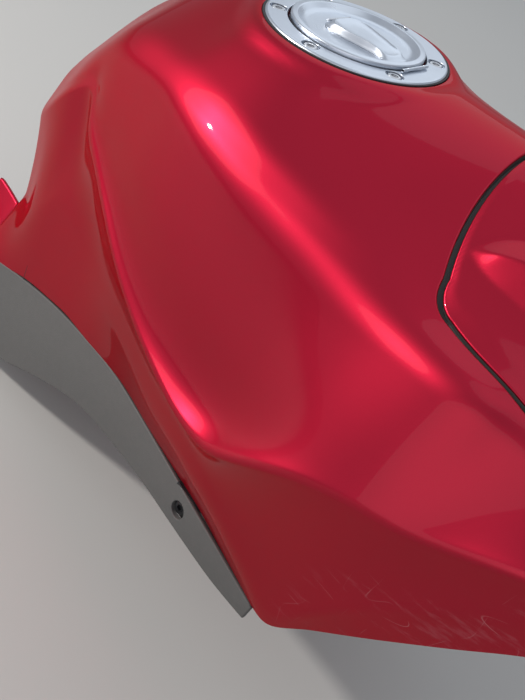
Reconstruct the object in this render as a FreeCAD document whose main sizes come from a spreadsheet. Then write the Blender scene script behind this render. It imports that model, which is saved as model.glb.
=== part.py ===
# Fuel tank of a sport motorcycle: pressed shell, front cover, hinged filler cap, side trims
# and the fittings underneath. Millimetres, +X forward, +Y left, +Z up, origin at the front mount.
import FreeCAD, Part
import math, os

V = FreeCAD.Vector
doc = FreeCAD.newDocument("fuel_tank")
os.makedirs("parts", exist_ok=True)

# Sizes
SIZES = [
    ("body_length", 627), ("body_width", 386), ("body_height", 420), ("cap_x", -358), ("cap_tilt", 9),
    ("seam_gap", 2.5), ("cover_skin", 5), ("shelf_gap", 0.4), ("horn_swell", 1),
    ("ring_radius", 64), ("ring_thick", 7.5), ("ring_bore", 49.6), ("seat_depth", 9.5),
    ("seat_radius", 67.2), ("gasket_thick", 2), ("gasket_radius", 66.6), ("gasket_lip", 1.2),
    ("bolt_circle", 56.2), ("bolt_count", 6), ("bolt_phase", 35), ("bolt_head", 4.6), ("bolt_well", 6.2),
    ("bolt_sink", 3), ("bolt_high", 2.4), ("bolt_shank", 2.5),
    ("neck_bore", 27.5), ("neck_wall", 2.5), ("neck_depth", 60), ("neck_flange", 38), ("flange_thick", 1.5),
    ("lid_radius", 48.6), ("lid_top", 3), ("lid_under", 5), ("dish_radius", 42.5), ("dish_floor", -1.5),
    ("hinge_x", 50), ("hinge_z", 1.5),
    ("knuckle_radius", 1.35), ("knuckle_half", 8.8), ("lug_start", 9.4), ("lug_width", 5),
    ("pin_radius", 0.8), ("pin_play", 0.05),
    ("seal_radius", 36), ("seal_depth", 2.7), ("lock_radius", 8), ("lock_x", 8),
    ("key_axis", -19), ("key_rear", -21.5), ("key_front", 36), ("key_rear_half", 21), ("key_front_half", 13),
    ("key_low", 0.2), ("key_high", 3.8), ("key_axis_z", 2.3), ("key_knuckle", 1.3), ("key_knuckle_half", 9),
    ("key_lug_start", 9.5), ("key_lug_width", 3), ("key_pin", 0.7),
    ("tunnel_half", 70), ("tunnel_roof", -150), ("rear_half", 75), ("rear_roof", -300), ("rear_wall", -40),
    ("trim_gap", 3), ("trim_thick", 4), ("trim_screw_head", 6.5), ("trim_screw_shank", 3),
    ("pump_x", -105), ("pump_radius", 56), ("pump_thick", 5), ("pump_gasket_thick", 2),
    ("pump_bolt_circle", 48), ("pump_bolt_count", 6), ("pump_bolt_head", 5), ("pump_bolt_high", 4),
    ("outlet_radius", 5), ("outlet_length", 26), ("outlet_y", 22), ("plug_size", 20),
    ("bracket_back", -68), ("bracket_front", 17), ("bracket_half", 58), ("bracket_thick", 5),
    ("mount_half", 40), ("mount_hole", 10), ("grommet_flange", 15), ("grommet_lip", 3), ("collar_bore", 4.2),
    ("collar_wall", 1.8), ("rear_mount_x", -222), ("rear_tab_clear", 5), ("rear_tab_half", 18),
    ("rear_tab_thick", 4), ("rear_bush_radius", 11), ("rear_bush_lip", 3), ("rear_sleeve_radius", 6),
    ("rear_sleeve_lip", 5),
    ("pad_length", 70), ("pad_width", 24), ("pad_thick", 8), ("pad_x", 90),
    ("stub_radius", 4), ("stub_bore", 2.6), ("stub_length", 28), ("stub_x", 10), ("stub_y", 34),
]
sheet = doc.addObject("Spreadsheet::Sheet", "sizes")
for row, (name, value) in enumerate(SIZES, 1):
    sheet.set("A%d" % row, name)
    sheet.set("B%d" % row, str(value))
    sheet.setAlias("B%d" % row, name)
doc.recompute()


def size(name):
    return float(sheet.get(name))


# Cross sections from the rear end to the steering end, measured from the cap centre:
# along, top height, then (half width, height) of the shoulder's upper and lower edges,
# the flank's waist, the knee crease, the fold below it and the lower edge
SECTIONS = [
    (-206, -150, (27, -161), (43, -178), (54, -203), (59, -214), (50, -310), (86, -371)),
    (-185, -112, (38, -137), (53, -153), (68, -180), (74, -192), (64, -300), (87, -361)),
    (-165, -84, (48, -112), (65, -130), (79, -155), (86, -166), (80, -285), (89, -352)),
    (-142, -60, (63, -91), (80, -106), (89, -127), (94, -136), (90, -262), (91, -341)),
    (-120, -40, (79, -70), (93, -87), (96, -106), (98, -114), (93, -225), (93, -331)),
    (-66, -11, (100, -48), (113, -63), (118, -123), (124, -148), (102, -235), (101, -312)),
    (0, 0.5, (120, -33), (137, -49), (141, -133), (150, -169), (124, -238), (111, -298)),
    (60, 10, (124, -30), (150, -44), (156, -141), (167, -183), (144, -240), (125, -288)),
    (120, 19, (122, -30), (153, -41), (169, -141), (184, -186), (163, -235), (138, -284)),
    (160, 25, (117, -29), (151, -39), (175, -124), (193, -163), (171, -236), (144, -282)),
    (205, 30, (113, -27), (148, -34), (176, -95), (192, -124), (166, -258), (152, -287)),
    (240, 32, (111, -24), (143, -32), (173, -84), (187, -107), (160, -270), (155, -287)),
    (300, 27, (106, -20), (130, -32), (161, -66), (174, -81), (158, -180), (146, -260)),
    (350, 12, (96, -28), (115, -44), (145, -55), (158, -60), (147, -131), (130, -250)),
    (385, -10, (84, -46), (100, -60), (129, -68), (142, -72), (134, -110), (118, -240)),
]
BASE_HEIGHT = -430
CROWN_SHARE, CROWN_DROP, ROLL_SWELL = 0.62, 0.075, 4.0

# Wing at the foot of each side, running on under the seat: along, half width at its top and at the lower edge
WING = [(-150, 88, 90), (-180, 74, 87), (-206, 57, 86), (-242, 52, 84)]
WING_TOP, WING_THICK = -322, 9

# Lower edge seen from the side, rear to front
LOWER_EDGE = [(-245, -388), (-128, -336), (-64, -312), (36, -290), (150, -282), (238, -287), (353, -128),
              (390, -92)]

# Seam of the front cover seen from above: arcs through three points, right half
SEAM_ARCS = [((147, 0), (155, 62), (178, 104)), ((178, 104), (186, 115), (200, 121)),
             ((200, 121), (232, 127), (266, 129)), ((266, 129), (320, 115), (352, 103)),
             ((352, 103), (385, 90), (425, 72))]
SEAM_LOW, SEAM_HIGH = -110, 110

# Raised horn on each side of the cover: along, across, height of its middle, half width, half height
HORN = [(176, 84, -12, 3, 2), (205, 86, -4, 12, 11), (250, 90, 0, 17, 15), (320, 88, -4, 15, 14),
        (376, 78, -24, 8, 7)]

# Side trim: along, top and bottom half width, bottom height below the lower edge
TRIM = [(-215, 86, 100, 88), (-165, 89, 109, 90), (-109, 95, 115, 82), (-49, 104, 119, 62), (4, 112, 124, 46),
        (56, 124, 131, 40), (98, 134, 139, 33), (140, 143, 147, 28), (185, 150, 152, 24), (225, 155, 155, 15)]
TRIM_SCREW = (136, 141, -298)
# Tabs that hold each trim: along, across, foot height, length, width and height
TRIM_TABS = [(136, 124.75, -308, 28, 29.5, 30), (-120, 79.75, -352, 28, 23.5, 30)]

# The tables' own length, width and height, from which the sizes of the body stretch them
DRAWN_LENGTH = SECTIONS[-1][0] - WING[-1][0]
DRAWN_WIDTH = 2 * max(row[5][0] for row in SECTIONS)
DRAWN_HEIGHT = max(row[1] for row in SECTIONS) - LOWER_EDGE[0][1]


def stretch(x, y, z):
    return V(x * size("body_length") / DRAWN_LENGTH, y * size("body_width") / DRAWN_WIDTH,
             z * size("body_height") / DRAWN_HEIGHT)


def lengthwise(rule):
    """The rule's length, stretched as the body's length is."""
    return "(%s) * sizes.body_length / %g" % (rule, DRAWN_LENGTH)


def crosswise(rule):
    return "(%s) * sizes.body_width / %g" % (rule, DRAWN_WIDTH)


def upward(rule):
    return "(%s) * sizes.body_height / %g" % (rule, DRAWN_HEIGHT)


TUNNEL_ROOF, REAR_ROOF = upward("sizes.tunnel_roof"), upward("sizes.rear_roof")
REAR_WALL = lengthwise("sizes.rear_wall")
TUNNEL_HALF, REAR_HALF = crosswise("sizes.tunnel_half"), crosswise("sizes.rear_half")
CAP_X, CAP_Z = lengthwise("sizes.cap_x"), "sizes.bracket_thick - " + TUNNEL_ROOF


def arc(a, b, c):
    return Part.Arc(a, b, c).toShape()


def section_wire(row):
    along, top, upper, ridge, waist, crease, fold, edge = row
    crown = (upper[0] * CROWN_SHARE, top - (top - upper[1]) * CROWN_DROP)
    run, fall = upper[0] - crown[0], crown[1] - upper[1]
    reach = math.hypot(run, fall)
    roll = ((crown[0] + upper[0]) / 2 + ROLL_SWELL * fall / reach,
            (crown[1] + upper[1]) / 2 + ROLL_SWELL * run / reach)
    base = (edge[0] - 4, BASE_HEIGHT)

    def at(point, side):
        return stretch(along, point[0] * side, point[1])

    lines = [upper, ridge, waist, crease, fold, edge, base]
    edges = [arc(at(crown, -1), stretch(along, 0, top), at(crown, 1)),
             arc(at(crown, 1), at(roll, 1), at(upper, 1))]
    edges += [Part.makeLine(at(a, 1), at(b, 1)) for a, b in zip(lines, lines[1:])]
    edges.append(Part.makeLine(at(base, 1), at(base, -1)))
    edges += [Part.makeLine(at(b, -1), at(a, -1)) for a, b in reversed(list(zip(lines, lines[1:])))]
    edges.append(arc(at(upper, -1), at(roll, -1), at(crown, -1)))
    return Part.Wire(edges)


def feature(name, shape):
    thing = doc.addObject("Part::Feature", name)
    thing.Shape = shape
    return thing


def bind(thing, **rules):
    for prop, rule in rules.items():
        thing.setExpression(prop.replace("__", "."), rule)
    return thing


def boolean(kind, name, base, tool):
    thing = doc.addObject("Part::" + kind, name)
    if kind == "Cut":
        thing.Base, thing.Tool = base, tool
    else:
        thing.Shapes = [base] + list(tool)
    return thing


def cylinder(name, radius, height):
    return bind(doc.addObject("Part::Cylinder", name), Radius=radius, Height=height)


def box(name, length, width, height):
    return bind(doc.addObject("Part::Box", name), Length=length, Width=width, Height=height)


# Whole outer body
loft = doc.addObject("Part::Loft", "outer_form")
loft.Sections = [feature("section_%02d" % n, section_wire(row)) for n, row in enumerate(SECTIONS)]
loft.Solid, loft.Ruled = True, False
(rear_x, rear_z), (front_x, front_z) = LOWER_EDGE[0], LOWER_EDGE[-1]
margin = DRAWN_WIDTH / 4
past_rear, past_front, past_base = rear_x - margin, front_x + margin, BASE_HEIGHT - margin
low = LOWER_EDGE + [(past_front, front_z), (past_front, past_base), (past_rear, past_base), (past_rear, rear_z)]
low = [stretch(x, -DRAWN_WIDTH, z) for x, z in low]
below_face = Part.Face(Part.makePolygon(low + low[:1]))
below = feature("below_edge", below_face.extrude(stretch(0, 2 * DRAWN_WIDTH, 0)))


def edge_height(x):
    for (xa, za), (xb, zb) in zip(LOWER_EDGE, LOWER_EDGE[1:]):
        if xa <= x <= xb:
            return za + (zb - za) * (x - xa) / (xb - xa)


def wing(side):
    rings = []
    for x, top, foot in WING:
        outside = [(top, WING_TOP), (foot, edge_height(x)), (foot - 4, BASE_HEIGHT)]
        corners = outside + [(y - WING_THICK, z) for y, z in reversed(outside)]
        points = [stretch(x, y * side, z) for y, z in corners]
        rings.append(Part.makePolygon(points + points[:1]))
    return Part.makeLoft(rings, True, True)


wings = [feature("wing_left", wing(1)), feature("wing_right", wing(-1))]
whole = boolean("MultiFuse", "form_with_wings", loft, wings)
outer = boolean("Cut", "outer_body", whole, below)

# Front cover: a skin cut out of the outer body along the seam, and the shelf under it
def seam_face():
    right = [arc(*[stretch(x, -y, SEAM_LOW) for x, y in three]) for three in SEAM_ARCS]
    left = [arc(*[stretch(x, y, SEAM_LOW) for x, y in reversed(three)]) for three in reversed(SEAM_ARCS)]
    end_x, end_y = SEAM_ARCS[-1][2]
    bridge = Part.makeLine(stretch(end_x, -end_y, SEAM_LOW), stretch(end_x, end_y, SEAM_LOW))
    return Part.Face(Part.Wire(right + [bridge] + left))


doc.recompute()
seam = seam_face()
zone = feature("seam_zone", seam.extrude(stretch(0, 0, SEAM_HIGH - SEAM_LOW)))
inset = feature("cover_zone",
                seam.makeOffset2D(-size("seam_gap")).extrude(stretch(0, 0, SEAM_HIGH - SEAM_LOW)))
under_cover = bind(feature("under_cover", outer.Shape.copy()), Placement__Base__z="-sizes.cover_skin")
shelf = bind(feature("shelf_form", outer.Shape.copy()),
             Placement__Base__z="-sizes.cover_skin - sizes.shelf_gap")


def horn(side):
    rings = []
    for x, y, z, wide, high in HORN:
        lift = size("horn_swell")
        ring = Part.Ellipse(V(0, 0, 0), max(wide, high * lift), min(wide, high * lift)).toShape()
        ring = Part.Wire([ring])
        turn = FreeCAD.Rotation(V(0, 1, 0), 90)
        if wide > high * lift:
            turn = turn.multiply(FreeCAD.Rotation(V(0, 0, 1), 90))
        ring.Placement = FreeCAD.Placement(stretch(x, y * side, z), turn)
        rings.append(ring)
    return Part.makeLoft(rings, True, False)


doc.recompute()
cover_patch = boolean("MultiCommon", "cover_patch", outer, [inset])
horns = [feature("horn_left", horn(1)), feature("horn_right", horn(-1))]
cover_full = boolean("MultiFuse", "cover_with_horns", cover_patch, horns)
cover_cut = boolean("Cut", "cover_cut", cover_full, under_cover)
recess = boolean("Cut", "cover_recess", zone, shelf)
body_1 = boolean("Cut", "body_without_cover", outer, recess)


def rod(name, radius, length, x="0", y="0", z="0", along="z"):
    """A cylinder, standing on its place, or lying centred on it along y or x."""
    thing = cylinder(name, radius, length)
    if along == "y":
        thing.Placement.Rotation = FreeCAD.Rotation(V(1, 0, 0), -90)
        y = "(%s) - (%s) / 2" % (y, length)
    elif along == "x":
        thing.Placement.Rotation = FreeCAD.Rotation(V(0, 1, 0), 90)
        x = "(%s) - (%s) / 2" % (x, length)
    return bind(thing, Placement__Base__x=x, Placement__Base__y=y, Placement__Base__z=z)


def block(name, length, width, height, x="0", y="0", z="0"):
    """A box, standing on its place and centred on it across and along."""
    return bind(box(name, length, width, height), Placement__Base__x="(%s) - (%s) / 2" % (x, length),
                Placement__Base__y="(%s) - (%s) / 2" % (y, width), Placement__Base__z=z)


def cut(name, base, *tools):
    for n, tool in enumerate(tools):
        last = n == len(tools) - 1
        base = boolean("Cut", name if last else "%s_step_%d" % (name, n), base, tool)
    return base


def fuse(name, *things):
    return boolean("MultiFuse", name, things[0], list(things[1:]))


def ring_of(name, count, radius, phase, make):
    """Like pieces evenly spaced on a circle."""
    made = []
    for n in range(int(size(count.split(".")[1]))):
        turn = "(%s + 360 * %d / %s)" % (phase, n, count)
        made.append(make("%s_%d" % (name, n), "%s * cos%s" % (radius, turn), "%s * sin%s" % (radius, turn)))
    return made


NODES = []


def node(name, things, tilted=False):
    group = doc.addObject("Part::Compound", name)
    group.Links = things if isinstance(things, list) else [things]
    group.Label = name
    if tilted:
        group.Placement.Rotation = FreeCAD.Rotation(V(0, 1, 0), -size("cap_tilt"))
        bind(group, Placement__Rotation__Angle="-sizes.cap_tilt")
    bind(group, Placement__Base__x=CAP_X, Placement__Base__z=CAP_Z)
    NODES.append(group)
    return group


# Tank shell: recess for the filler, bore of the filler, spaces under the tank
def tilted_hole(name, radius, depth):
    hole = cylinder(name, radius, "%s + 60" % depth)
    hole.Placement.Rotation = FreeCAD.Rotation(V(0, 1, 0), -size("cap_tilt"))
    return bind(hole, Placement__Base__x="sin(sizes.cap_tilt) * %s" % depth,
                Placement__Base__z="-cos(sizes.cap_tilt) * %s" % depth,
                Placement__Rotation__Angle="-sizes.cap_tilt")


filler_seat = tilted_hole("filler_seat", "sizes.seat_radius", "sizes.seat_depth")
filler_hole = tilted_hole("filler_hole", "sizes.neck_bore + sizes.neck_wall + 0.2",
                          "(sizes.neck_depth + sizes.seat_depth)")
front_room = block("front_room", "sizes.body_length", "2 * " + TUNNEL_HALF, "sizes.body_height",
                   REAR_WALL + " + sizes.body_length / 2", "0", TUNNEL_ROOF + " - sizes.body_height")
rear_room = block("rear_room", "sizes.body_length", "2 * " + REAR_HALF, "sizes.body_height",
                  REAR_WALL + " - sizes.body_length / 2 + 1", "0", REAR_ROOF + " - sizes.body_height")
shell = cut("shell", body_1, filler_seat, filler_hole, front_room, rear_room)
node("tank_shell", shell)
node("front_cover", cover_cut)

# Filler: gasket, ring, bolts and neck
gasket_disc = rod("gasket_disc", "sizes.gasket_radius", "sizes.seat_depth - sizes.gasket_lip",
                  z="-sizes.seat_depth")
gasket_hole = rod("gasket_hole", "sizes.ring_bore", "sizes.gasket_thick", z="-sizes.seat_depth")
gasket_well = rod("gasket_well", "sizes.ring_radius", "sizes.seat_depth", z="-sizes.ring_thick")
node("ring_gasket", cut("gasket", gasket_disc, gasket_hole, gasket_well), True)


def lug(name, side):
    place = "%d * (sizes.lug_start + sizes.lug_width / 2)" % side
    eye = rod(name + "_eye", "sizes.knuckle_radius", "sizes.lug_width", "sizes.hinge_x", place,
              "sizes.hinge_z", "y")
    foot = block(name + "_foot", "2 * sizes.knuckle_radius", "sizes.lug_width", "sizes.hinge_z + 1",
                 "sizes.hinge_x", place, "-1")
    return fuse(name, eye, foot)


ring_disc = rod("ring_disc", "sizes.ring_radius", "sizes.ring_thick", z="-sizes.ring_thick")
ring_hole = rod("ring_hole", "sizes.ring_bore", "sizes.ring_thick", z="-sizes.ring_thick")
ring_open = cut("ring_open", ring_disc, ring_hole)
BOLTS = "sizes.bolt_count", "sizes.bolt_circle", "sizes.bolt_phase"
bolt_holes = ring_of("bolt_hole", *BOLTS, lambda n, x, y: rod(n, "sizes.bolt_well", "sizes.bolt_sink + 1", x, y,
                                                              "-sizes.bolt_sink"))
shank_holes = ring_of("shank_hole", *BOLTS, lambda n, x, y: rod(n, "sizes.bolt_shank", "12", x, y, "-10"))
pin_hole = rod("ring_pin_hole", "sizes.pin_radius", "60", "sizes.hinge_x", "0", "sizes.hinge_z", "y")
ring_whole = fuse("ring_with_lugs", ring_open, lug("lug_left", 1), lug("lug_right", -1))
node("cap_ring", cut("ring", ring_whole, fuse("ring_holes", *(bolt_holes + shank_holes)), pin_hole), True)


def ring_bolt(name, x, y):
    return fuse(name, rod(name + "_head", "sizes.bolt_head", "sizes.bolt_high", x, y, "-sizes.bolt_sink"),
                rod(name + "_shank", "sizes.bolt_shank", "4", x, y, "-sizes.bolt_sink - 4"))


node("ring_bolts", ring_of("ring_bolt", *BOLTS, ring_bolt), True)
neck_outer = "sizes.neck_bore + sizes.neck_wall"
neck_tube = fuse("neck_body",
                 rod("neck_outside", neck_outer, "sizes.neck_depth",
                     z="-sizes.seat_depth - sizes.neck_depth"),
                 rod("neck_rim", "sizes.neck_flange", "sizes.flange_thick", z="-sizes.seat_depth"))
node("filler_neck", cut("neck", neck_tube, rod("neck_inside", "sizes.neck_bore", "sizes.neck_depth + 10",
                                               z="-sizes.seat_depth - sizes.neck_depth - 5")), True)
node("hinge_pin", rod("hinge_pin_rod", "sizes.pin_radius", "2 * (sizes.lug_start + sizes.lug_width)",
                      "sizes.hinge_x", "0", "sizes.hinge_z", "y"), True)

# Lid, its seal and lock, and the key cover
lid_disc = rod("lid_disc", "sizes.lid_radius", "sizes.lid_top + sizes.lid_under", z="-sizes.lid_under")
dish = rod("lid_dish", "sizes.dish_radius", "sizes.lid_top - sizes.dish_floor + 1", z="sizes.dish_floor")
lid_eye = rod("lid_eye", "sizes.knuckle_radius", "2 * sizes.knuckle_half", "sizes.hinge_x", "0",
              "sizes.hinge_z", "y")
lid_arm = block("lid_arm", "4", "2 * sizes.knuckle_half", "2 * sizes.knuckle_radius - 0.4",
                "sizes.hinge_x - 2", "0", "sizes.hinge_z - sizes.knuckle_radius + 0.2")


def key_lug(name, side):
    place = "%d * (sizes.key_lug_start + sizes.key_lug_width / 2)" % side
    eye = rod(name + "_eye", "sizes.key_knuckle", "sizes.key_lug_width", "sizes.key_axis", place,
              "sizes.key_axis_z", "y")
    return fuse(name, eye, block(name + "_foot", "2 * sizes.key_knuckle", "sizes.key_lug_width",
                                 "sizes.key_axis_z - sizes.dish_floor + 0.5", "sizes.key_axis", place,
                                 "sizes.dish_floor - 0.5"))


lid_bowl = cut("lid_bowl", lid_disc, dish)
key_lugs = [key_lug("key_lug_left", 1), key_lug("key_lug_right", -1)]
lid_whole = fuse("lid_whole", lid_bowl, lid_eye, lid_arm, *key_lugs)
lid_pin_hole = rod("lid_pin_hole", "sizes.pin_radius + sizes.pin_play", "60", "sizes.hinge_x", "0",
                   "sizes.hinge_z", "y")
key_pin_hole = rod("key_pin_hole", "sizes.key_pin", "60", "sizes.key_axis", "0", "sizes.key_axis_z", "y")
lock_well = rod("lock_well", "sizes.lock_radius", "20", "sizes.lock_x", "0", "-sizes.lid_under + 1")
node("cap_lid", cut("lid", lid_whole, lid_pin_hole, key_pin_hole, lock_well), True)
node("key_cover_pin", rod("key_pin_rod", "sizes.key_pin", "2 * (sizes.key_lug_start + sizes.key_lug_width)",
                          "sizes.key_axis", "0", "sizes.key_axis_z", "y"), True)
node("lid_seal", rod("seal_disc", "sizes.seal_radius", "sizes.seal_depth",
                     z="-sizes.lid_under - sizes.seal_depth"), True)
key_slot = block("key_slot", "1.6", "8", "6", "sizes.lock_x", "0", "-2")
lock_barrel = rod("lock_barrel", "sizes.lock_radius", "sizes.lid_under - 1.2", "sizes.lock_x", "0",
                  "-sizes.lid_under + 1")
node("lock_cylinder", cut("lock", lock_barrel, key_slot), True)


def tongue():
    rear, front, low = size("key_rear"), size("key_front"), size("key_low")
    wide, slim = size("key_rear_half"), size("key_front_half")
    near = [V(rear, 0, low), V(rear + 3, -wide * 0.86, low), V(rear + 9, -wide, low),
            V((rear + front) / 2, -slim - 3, low), V(front - 7, -slim, low), V(front - 1.5, -slim * 0.7, low),
            V(front, 0, low)]
    far = [V(p.x, -p.y, p.z) for p in near]
    edges = [arc(near[0], V(rear + 0.6, -wide * 0.5, low), near[1])]
    edges += [Part.makeLine(a, b) for a, b in zip(near[1:5], near[2:6])]
    edges += [arc(near[5], V(front - 0.3, -slim * 0.35, low), near[6]),
              arc(far[6], V(front - 0.3, slim * 0.35, low), far[5])]
    edges += [Part.makeLine(b, a) for a, b in reversed(list(zip(far[1:5], far[2:6])))]
    edges.append(arc(far[1], V(rear + 0.6, wide * 0.5, low), far[0]))
    return Part.Face(Part.Wire(edges)).extrude(V(0, 0, size("key_high") - low))


def lug_room(name, side):
    place = "%d * (sizes.key_lug_start + sizes.key_lug_width / 2)" % side
    return block(name, "14", "sizes.key_lug_width + 1", "10", "sizes.key_axis - 7 + sizes.key_knuckle + 0.5",
                 place, "sizes.key_low - 1")


key_eye = rod("key_eye", "sizes.key_knuckle", "2 * sizes.key_knuckle_half", "sizes.key_axis", "0",
              "sizes.key_axis_z", "y")
key_whole = fuse("key_whole", feature("key_tongue", tongue()), key_eye)
key_eye_hole = rod("key_eye_hole", "sizes.key_pin + sizes.pin_play", "60", "sizes.key_axis", "0",
                   "sizes.key_axis_z", "y")
lug_rooms = [lug_room("key_room_left", 1), lug_room("key_room_right", -1)]
node("key_cover", cut("key", key_whole, key_eye_hole, *lug_rooms), True)


# Side trims and their screws
def trim(side):
    gap, thick = size("trim_gap"), size("trim_thick")
    rings = []
    for x, wide_top, wide_low, drop in TRIM:
        z = edge_height(x)
        corners = [(wide_top, z - gap), (wide_low, z - gap - drop), (wide_low - thick, z - gap - drop),
                   (wide_top - thick, z - gap)]
        points = [stretch(x, y * side, h) for y, h in corners]
        rings.append(Part.makePolygon(points + points[:1]))
    return Part.makeLoft(rings, True, True)


def trim_place(x, y, z, side):
    """Rules for a place that goes with the stretched body."""
    return [lengthwise(x), crosswise(y * side), upward(z)]


def trim_screw(name, side):
    x, y, z = TRIM_SCREW
    head = rod(name + "_head", "sizes.trim_screw_head", "5", *trim_place(x, y - 1, z, side), "y")
    shank = rod(name + "_shank", "sizes.trim_screw_shank", "18", *trim_place(x, y - 7, z, side), "y")
    return fuse(name, head, shank)


screws = {side: trim_screw("trim_fastener_%s" % word, side) for side, word in ((-1, "right"), (1, "left"))}
for side, word in ((-1, "right"), (1, "left")):
    well = rod("screw_well_" + word, "sizes.trim_screw_head + 0.2", "30", *trim_place(*TRIM_SCREW, side), "y")
    panel = cut("trim_" + word, feature("trim_form_" + word, trim(side)), well)
    tabs = []
    for n, (x, y, z, long, wide, high) in enumerate(TRIM_TABS):
        tab = block("trim_tab_block_%s_%d" % (word, n), lengthwise(long), crosswise(wide), upward(high),
                    *trim_place(x, y, z, side))
        tabs.append(cut("trim_tab_%s_%d" % (word, n), tab, shell, panel, screws[side]))
    node("side_trim_" + word, panel)
    node("trim_screw_" + word, screws[side])
    node("trim_brackets_" + word, tabs)

# Fuel pump plate in the space under the rear
PUMP_X, pump_top = lengthwise("sizes.pump_x"), REAR_ROOF + " - sizes.pump_gasket_thick"
pump_low = pump_top + " - sizes.pump_thick"
node("pump_gasket", rod("pump_gasket_disc", "sizes.pump_radius", "sizes.pump_gasket_thick", PUMP_X, "0",
                        pump_top))
node("pump_plate", rod("pump_disc", "sizes.pump_radius", "sizes.pump_thick", PUMP_X, "0", pump_low))


def pump_bolt(name, x, y):
    return rod(name, "sizes.pump_bolt_head", "sizes.pump_bolt_high", PUMP_X + " + " + x, y,
               pump_low + " - sizes.pump_bolt_high")


node("pump_bolts", ring_of("pump_bolt", "sizes.pump_bolt_count", "sizes.pump_bolt_circle", "30", pump_bolt))
outlet = rod("outlet_tube", "sizes.outlet_radius", "sizes.outlet_length", PUMP_X, "sizes.outlet_y",
             pump_low + " - sizes.outlet_length")
outlet_bore = rod("outlet_bore", "sizes.outlet_radius - 1.6", "sizes.outlet_length", PUMP_X, "sizes.outlet_y",
                  pump_low + " - sizes.outlet_length")
node("fuel_outlet", cut("outlet", outlet, outlet_bore))
node("pump_connector", block("plug_socket", "sizes.plug_size * 1.3", "sizes.plug_size * 0.7",
                             "sizes.plug_size * 0.6", PUMP_X, "-sizes.outlet_y",
                             pump_low + " - sizes.plug_size * 0.6"))

# Front mounting bracket with its rubbers and collars
MOUNT_X, bracket_low = "0 - " + CAP_X, TUNNEL_ROOF + " - sizes.bracket_thick"
bracket_plate = block("bracket_plate", "sizes.bracket_front - sizes.bracket_back", "2 * sizes.bracket_half",
                      "sizes.bracket_thick", MOUNT_X + " + (sizes.bracket_front + sizes.bracket_back) / 2",
                      "0", bracket_low)


def pair(name, make):
    return [make("%s_%s" % (name, word), "%d * sizes.mount_half" % side)
            for word, side in (("right", -1), ("left", 1))]


holes = pair("mount_hole", lambda n, y: rod(n, "sizes.mount_hole", "40", MOUNT_X, y, bracket_low + " - 20"))
node("front_bracket", cut("bracket", bracket_plate, fuse("mount_holes", *holes)))


def grommet(name, y):
    low = bracket_low + " - sizes.grommet_lip"
    body = fuse(name + "_body",
                rod(name + "_core", "sizes.mount_hole", "sizes.bracket_thick + 2 * sizes.grommet_lip",
                    MOUNT_X, y, low),
                rod(name + "_low", "sizes.grommet_flange", "sizes.grommet_lip", MOUNT_X, y, low),
                rod(name + "_high", "sizes.grommet_flange", "sizes.grommet_lip", MOUNT_X, y, TUNNEL_ROOF))
    return cut(name, body, rod(name + "_bore", "sizes.collar_bore + sizes.collar_wall", "60", MOUNT_X, y,
                               bracket_low + " - 30"))


def collar(name, y):
    low, high = bracket_low + " - sizes.grommet_lip", "sizes.bracket_thick + 2 * sizes.grommet_lip"
    return cut(name, rod(name + "_tube", "sizes.collar_bore + sizes.collar_wall", high, MOUNT_X, y, low),
               rod(name + "_bore", "sizes.collar_bore", high, MOUNT_X, y, low))


node("front_grommets", pair("grommet", grommet))
node("front_collars", pair("collar", collar))

# Rear mounting tab behind the pump, with its upright bush and sleeve
REAR_X, TAB_FRONT = lengthwise("sizes.rear_mount_x"), PUMP_X + " - sizes.pump_radius - sizes.rear_tab_clear"
tab_low = REAR_ROOF + " - sizes.rear_tab_thick"
tab = fuse("tab_body", block("tab_plate", "(%s) - (%s)" % (TAB_FRONT, REAR_X), "2 * sizes.rear_tab_half",
                             "sizes.rear_tab_thick", "(%s + %s) / 2" % (TAB_FRONT, REAR_X), "0", tab_low),
           rod("tab_end", "sizes.rear_tab_half", "sizes.rear_tab_thick", REAR_X, "0", tab_low))
tab_hole = rod("tab_hole", "sizes.rear_bush_radius", "60", REAR_X, "0", tab_low + " - 30")
node("rear_tab", cut("rear_tab_cut", tab, tab_hole))


def upright(name, radius, bore, lip):
    """A sleeve that stands in the tab's hole and passes it by its lip at both ends."""
    low, high = "%s - %s" % (tab_low, lip), "sizes.rear_tab_thick + 2 * " + lip
    return cut(name, rod(name + "_outside", radius, high, REAR_X, "0", low),
               rod(name + "_bore", bore, high, REAR_X, "0", low))


node("rear_bush", upright("bush", "sizes.rear_bush_radius", "sizes.rear_sleeve_radius", "sizes.rear_bush_lip"))
node("rear_sleeve", upright("sleeve", "sizes.rear_sleeve_radius", "sizes.collar_bore", "sizes.rear_sleeve_lip"))


# Rubber pads under the roof, breather and drain stubs
def damper_pad(word, side):
    return block("damper_pad_" + word, "sizes.pad_length", "sizes.pad_width", "sizes.pad_thick",
                 lengthwise("sizes.pad_x"), "%d * (%s - sizes.pad_width / 2 - 6)" % (side, TUNNEL_HALF),
                 TUNNEL_ROOF + " - sizes.pad_thick")


node("damper_pads", [damper_pad("right", -1), damper_pad("left", 1)])
for name, side in (("breather_stub", 1), ("drain_stub", -1)):
    where = (lengthwise("sizes.stub_x"), "%d * sizes.stub_y" % side, TUNNEL_ROOF + " - sizes.stub_length")
    node(name, cut(name + "_cut", rod(name + "_tube", "sizes.stub_radius", "sizes.stub_length", *where),
                   rod(name + "_bore", "sizes.stub_bore", "sizes.stub_length", *where)))

doc.recompute()
for thing in doc.Objects:
    if "Invalid" in thing.State or "Error" in thing.State:
        raise RuntimeError("%s is %s" % (thing.Name, thing.State))
    if hasattr(thing, "Shape") and (thing.Shape.isNull() or not thing.Shape.isValid()):
        raise RuntimeError("%s has no valid shape" % thing.Name)
for thing in NODES:
    if not thing.Shape.Solids:
        raise RuntimeError("%s has no solid" % thing.Label)
    thing.Shape.exportStep("parts/%s.step" % thing.Label)
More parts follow.
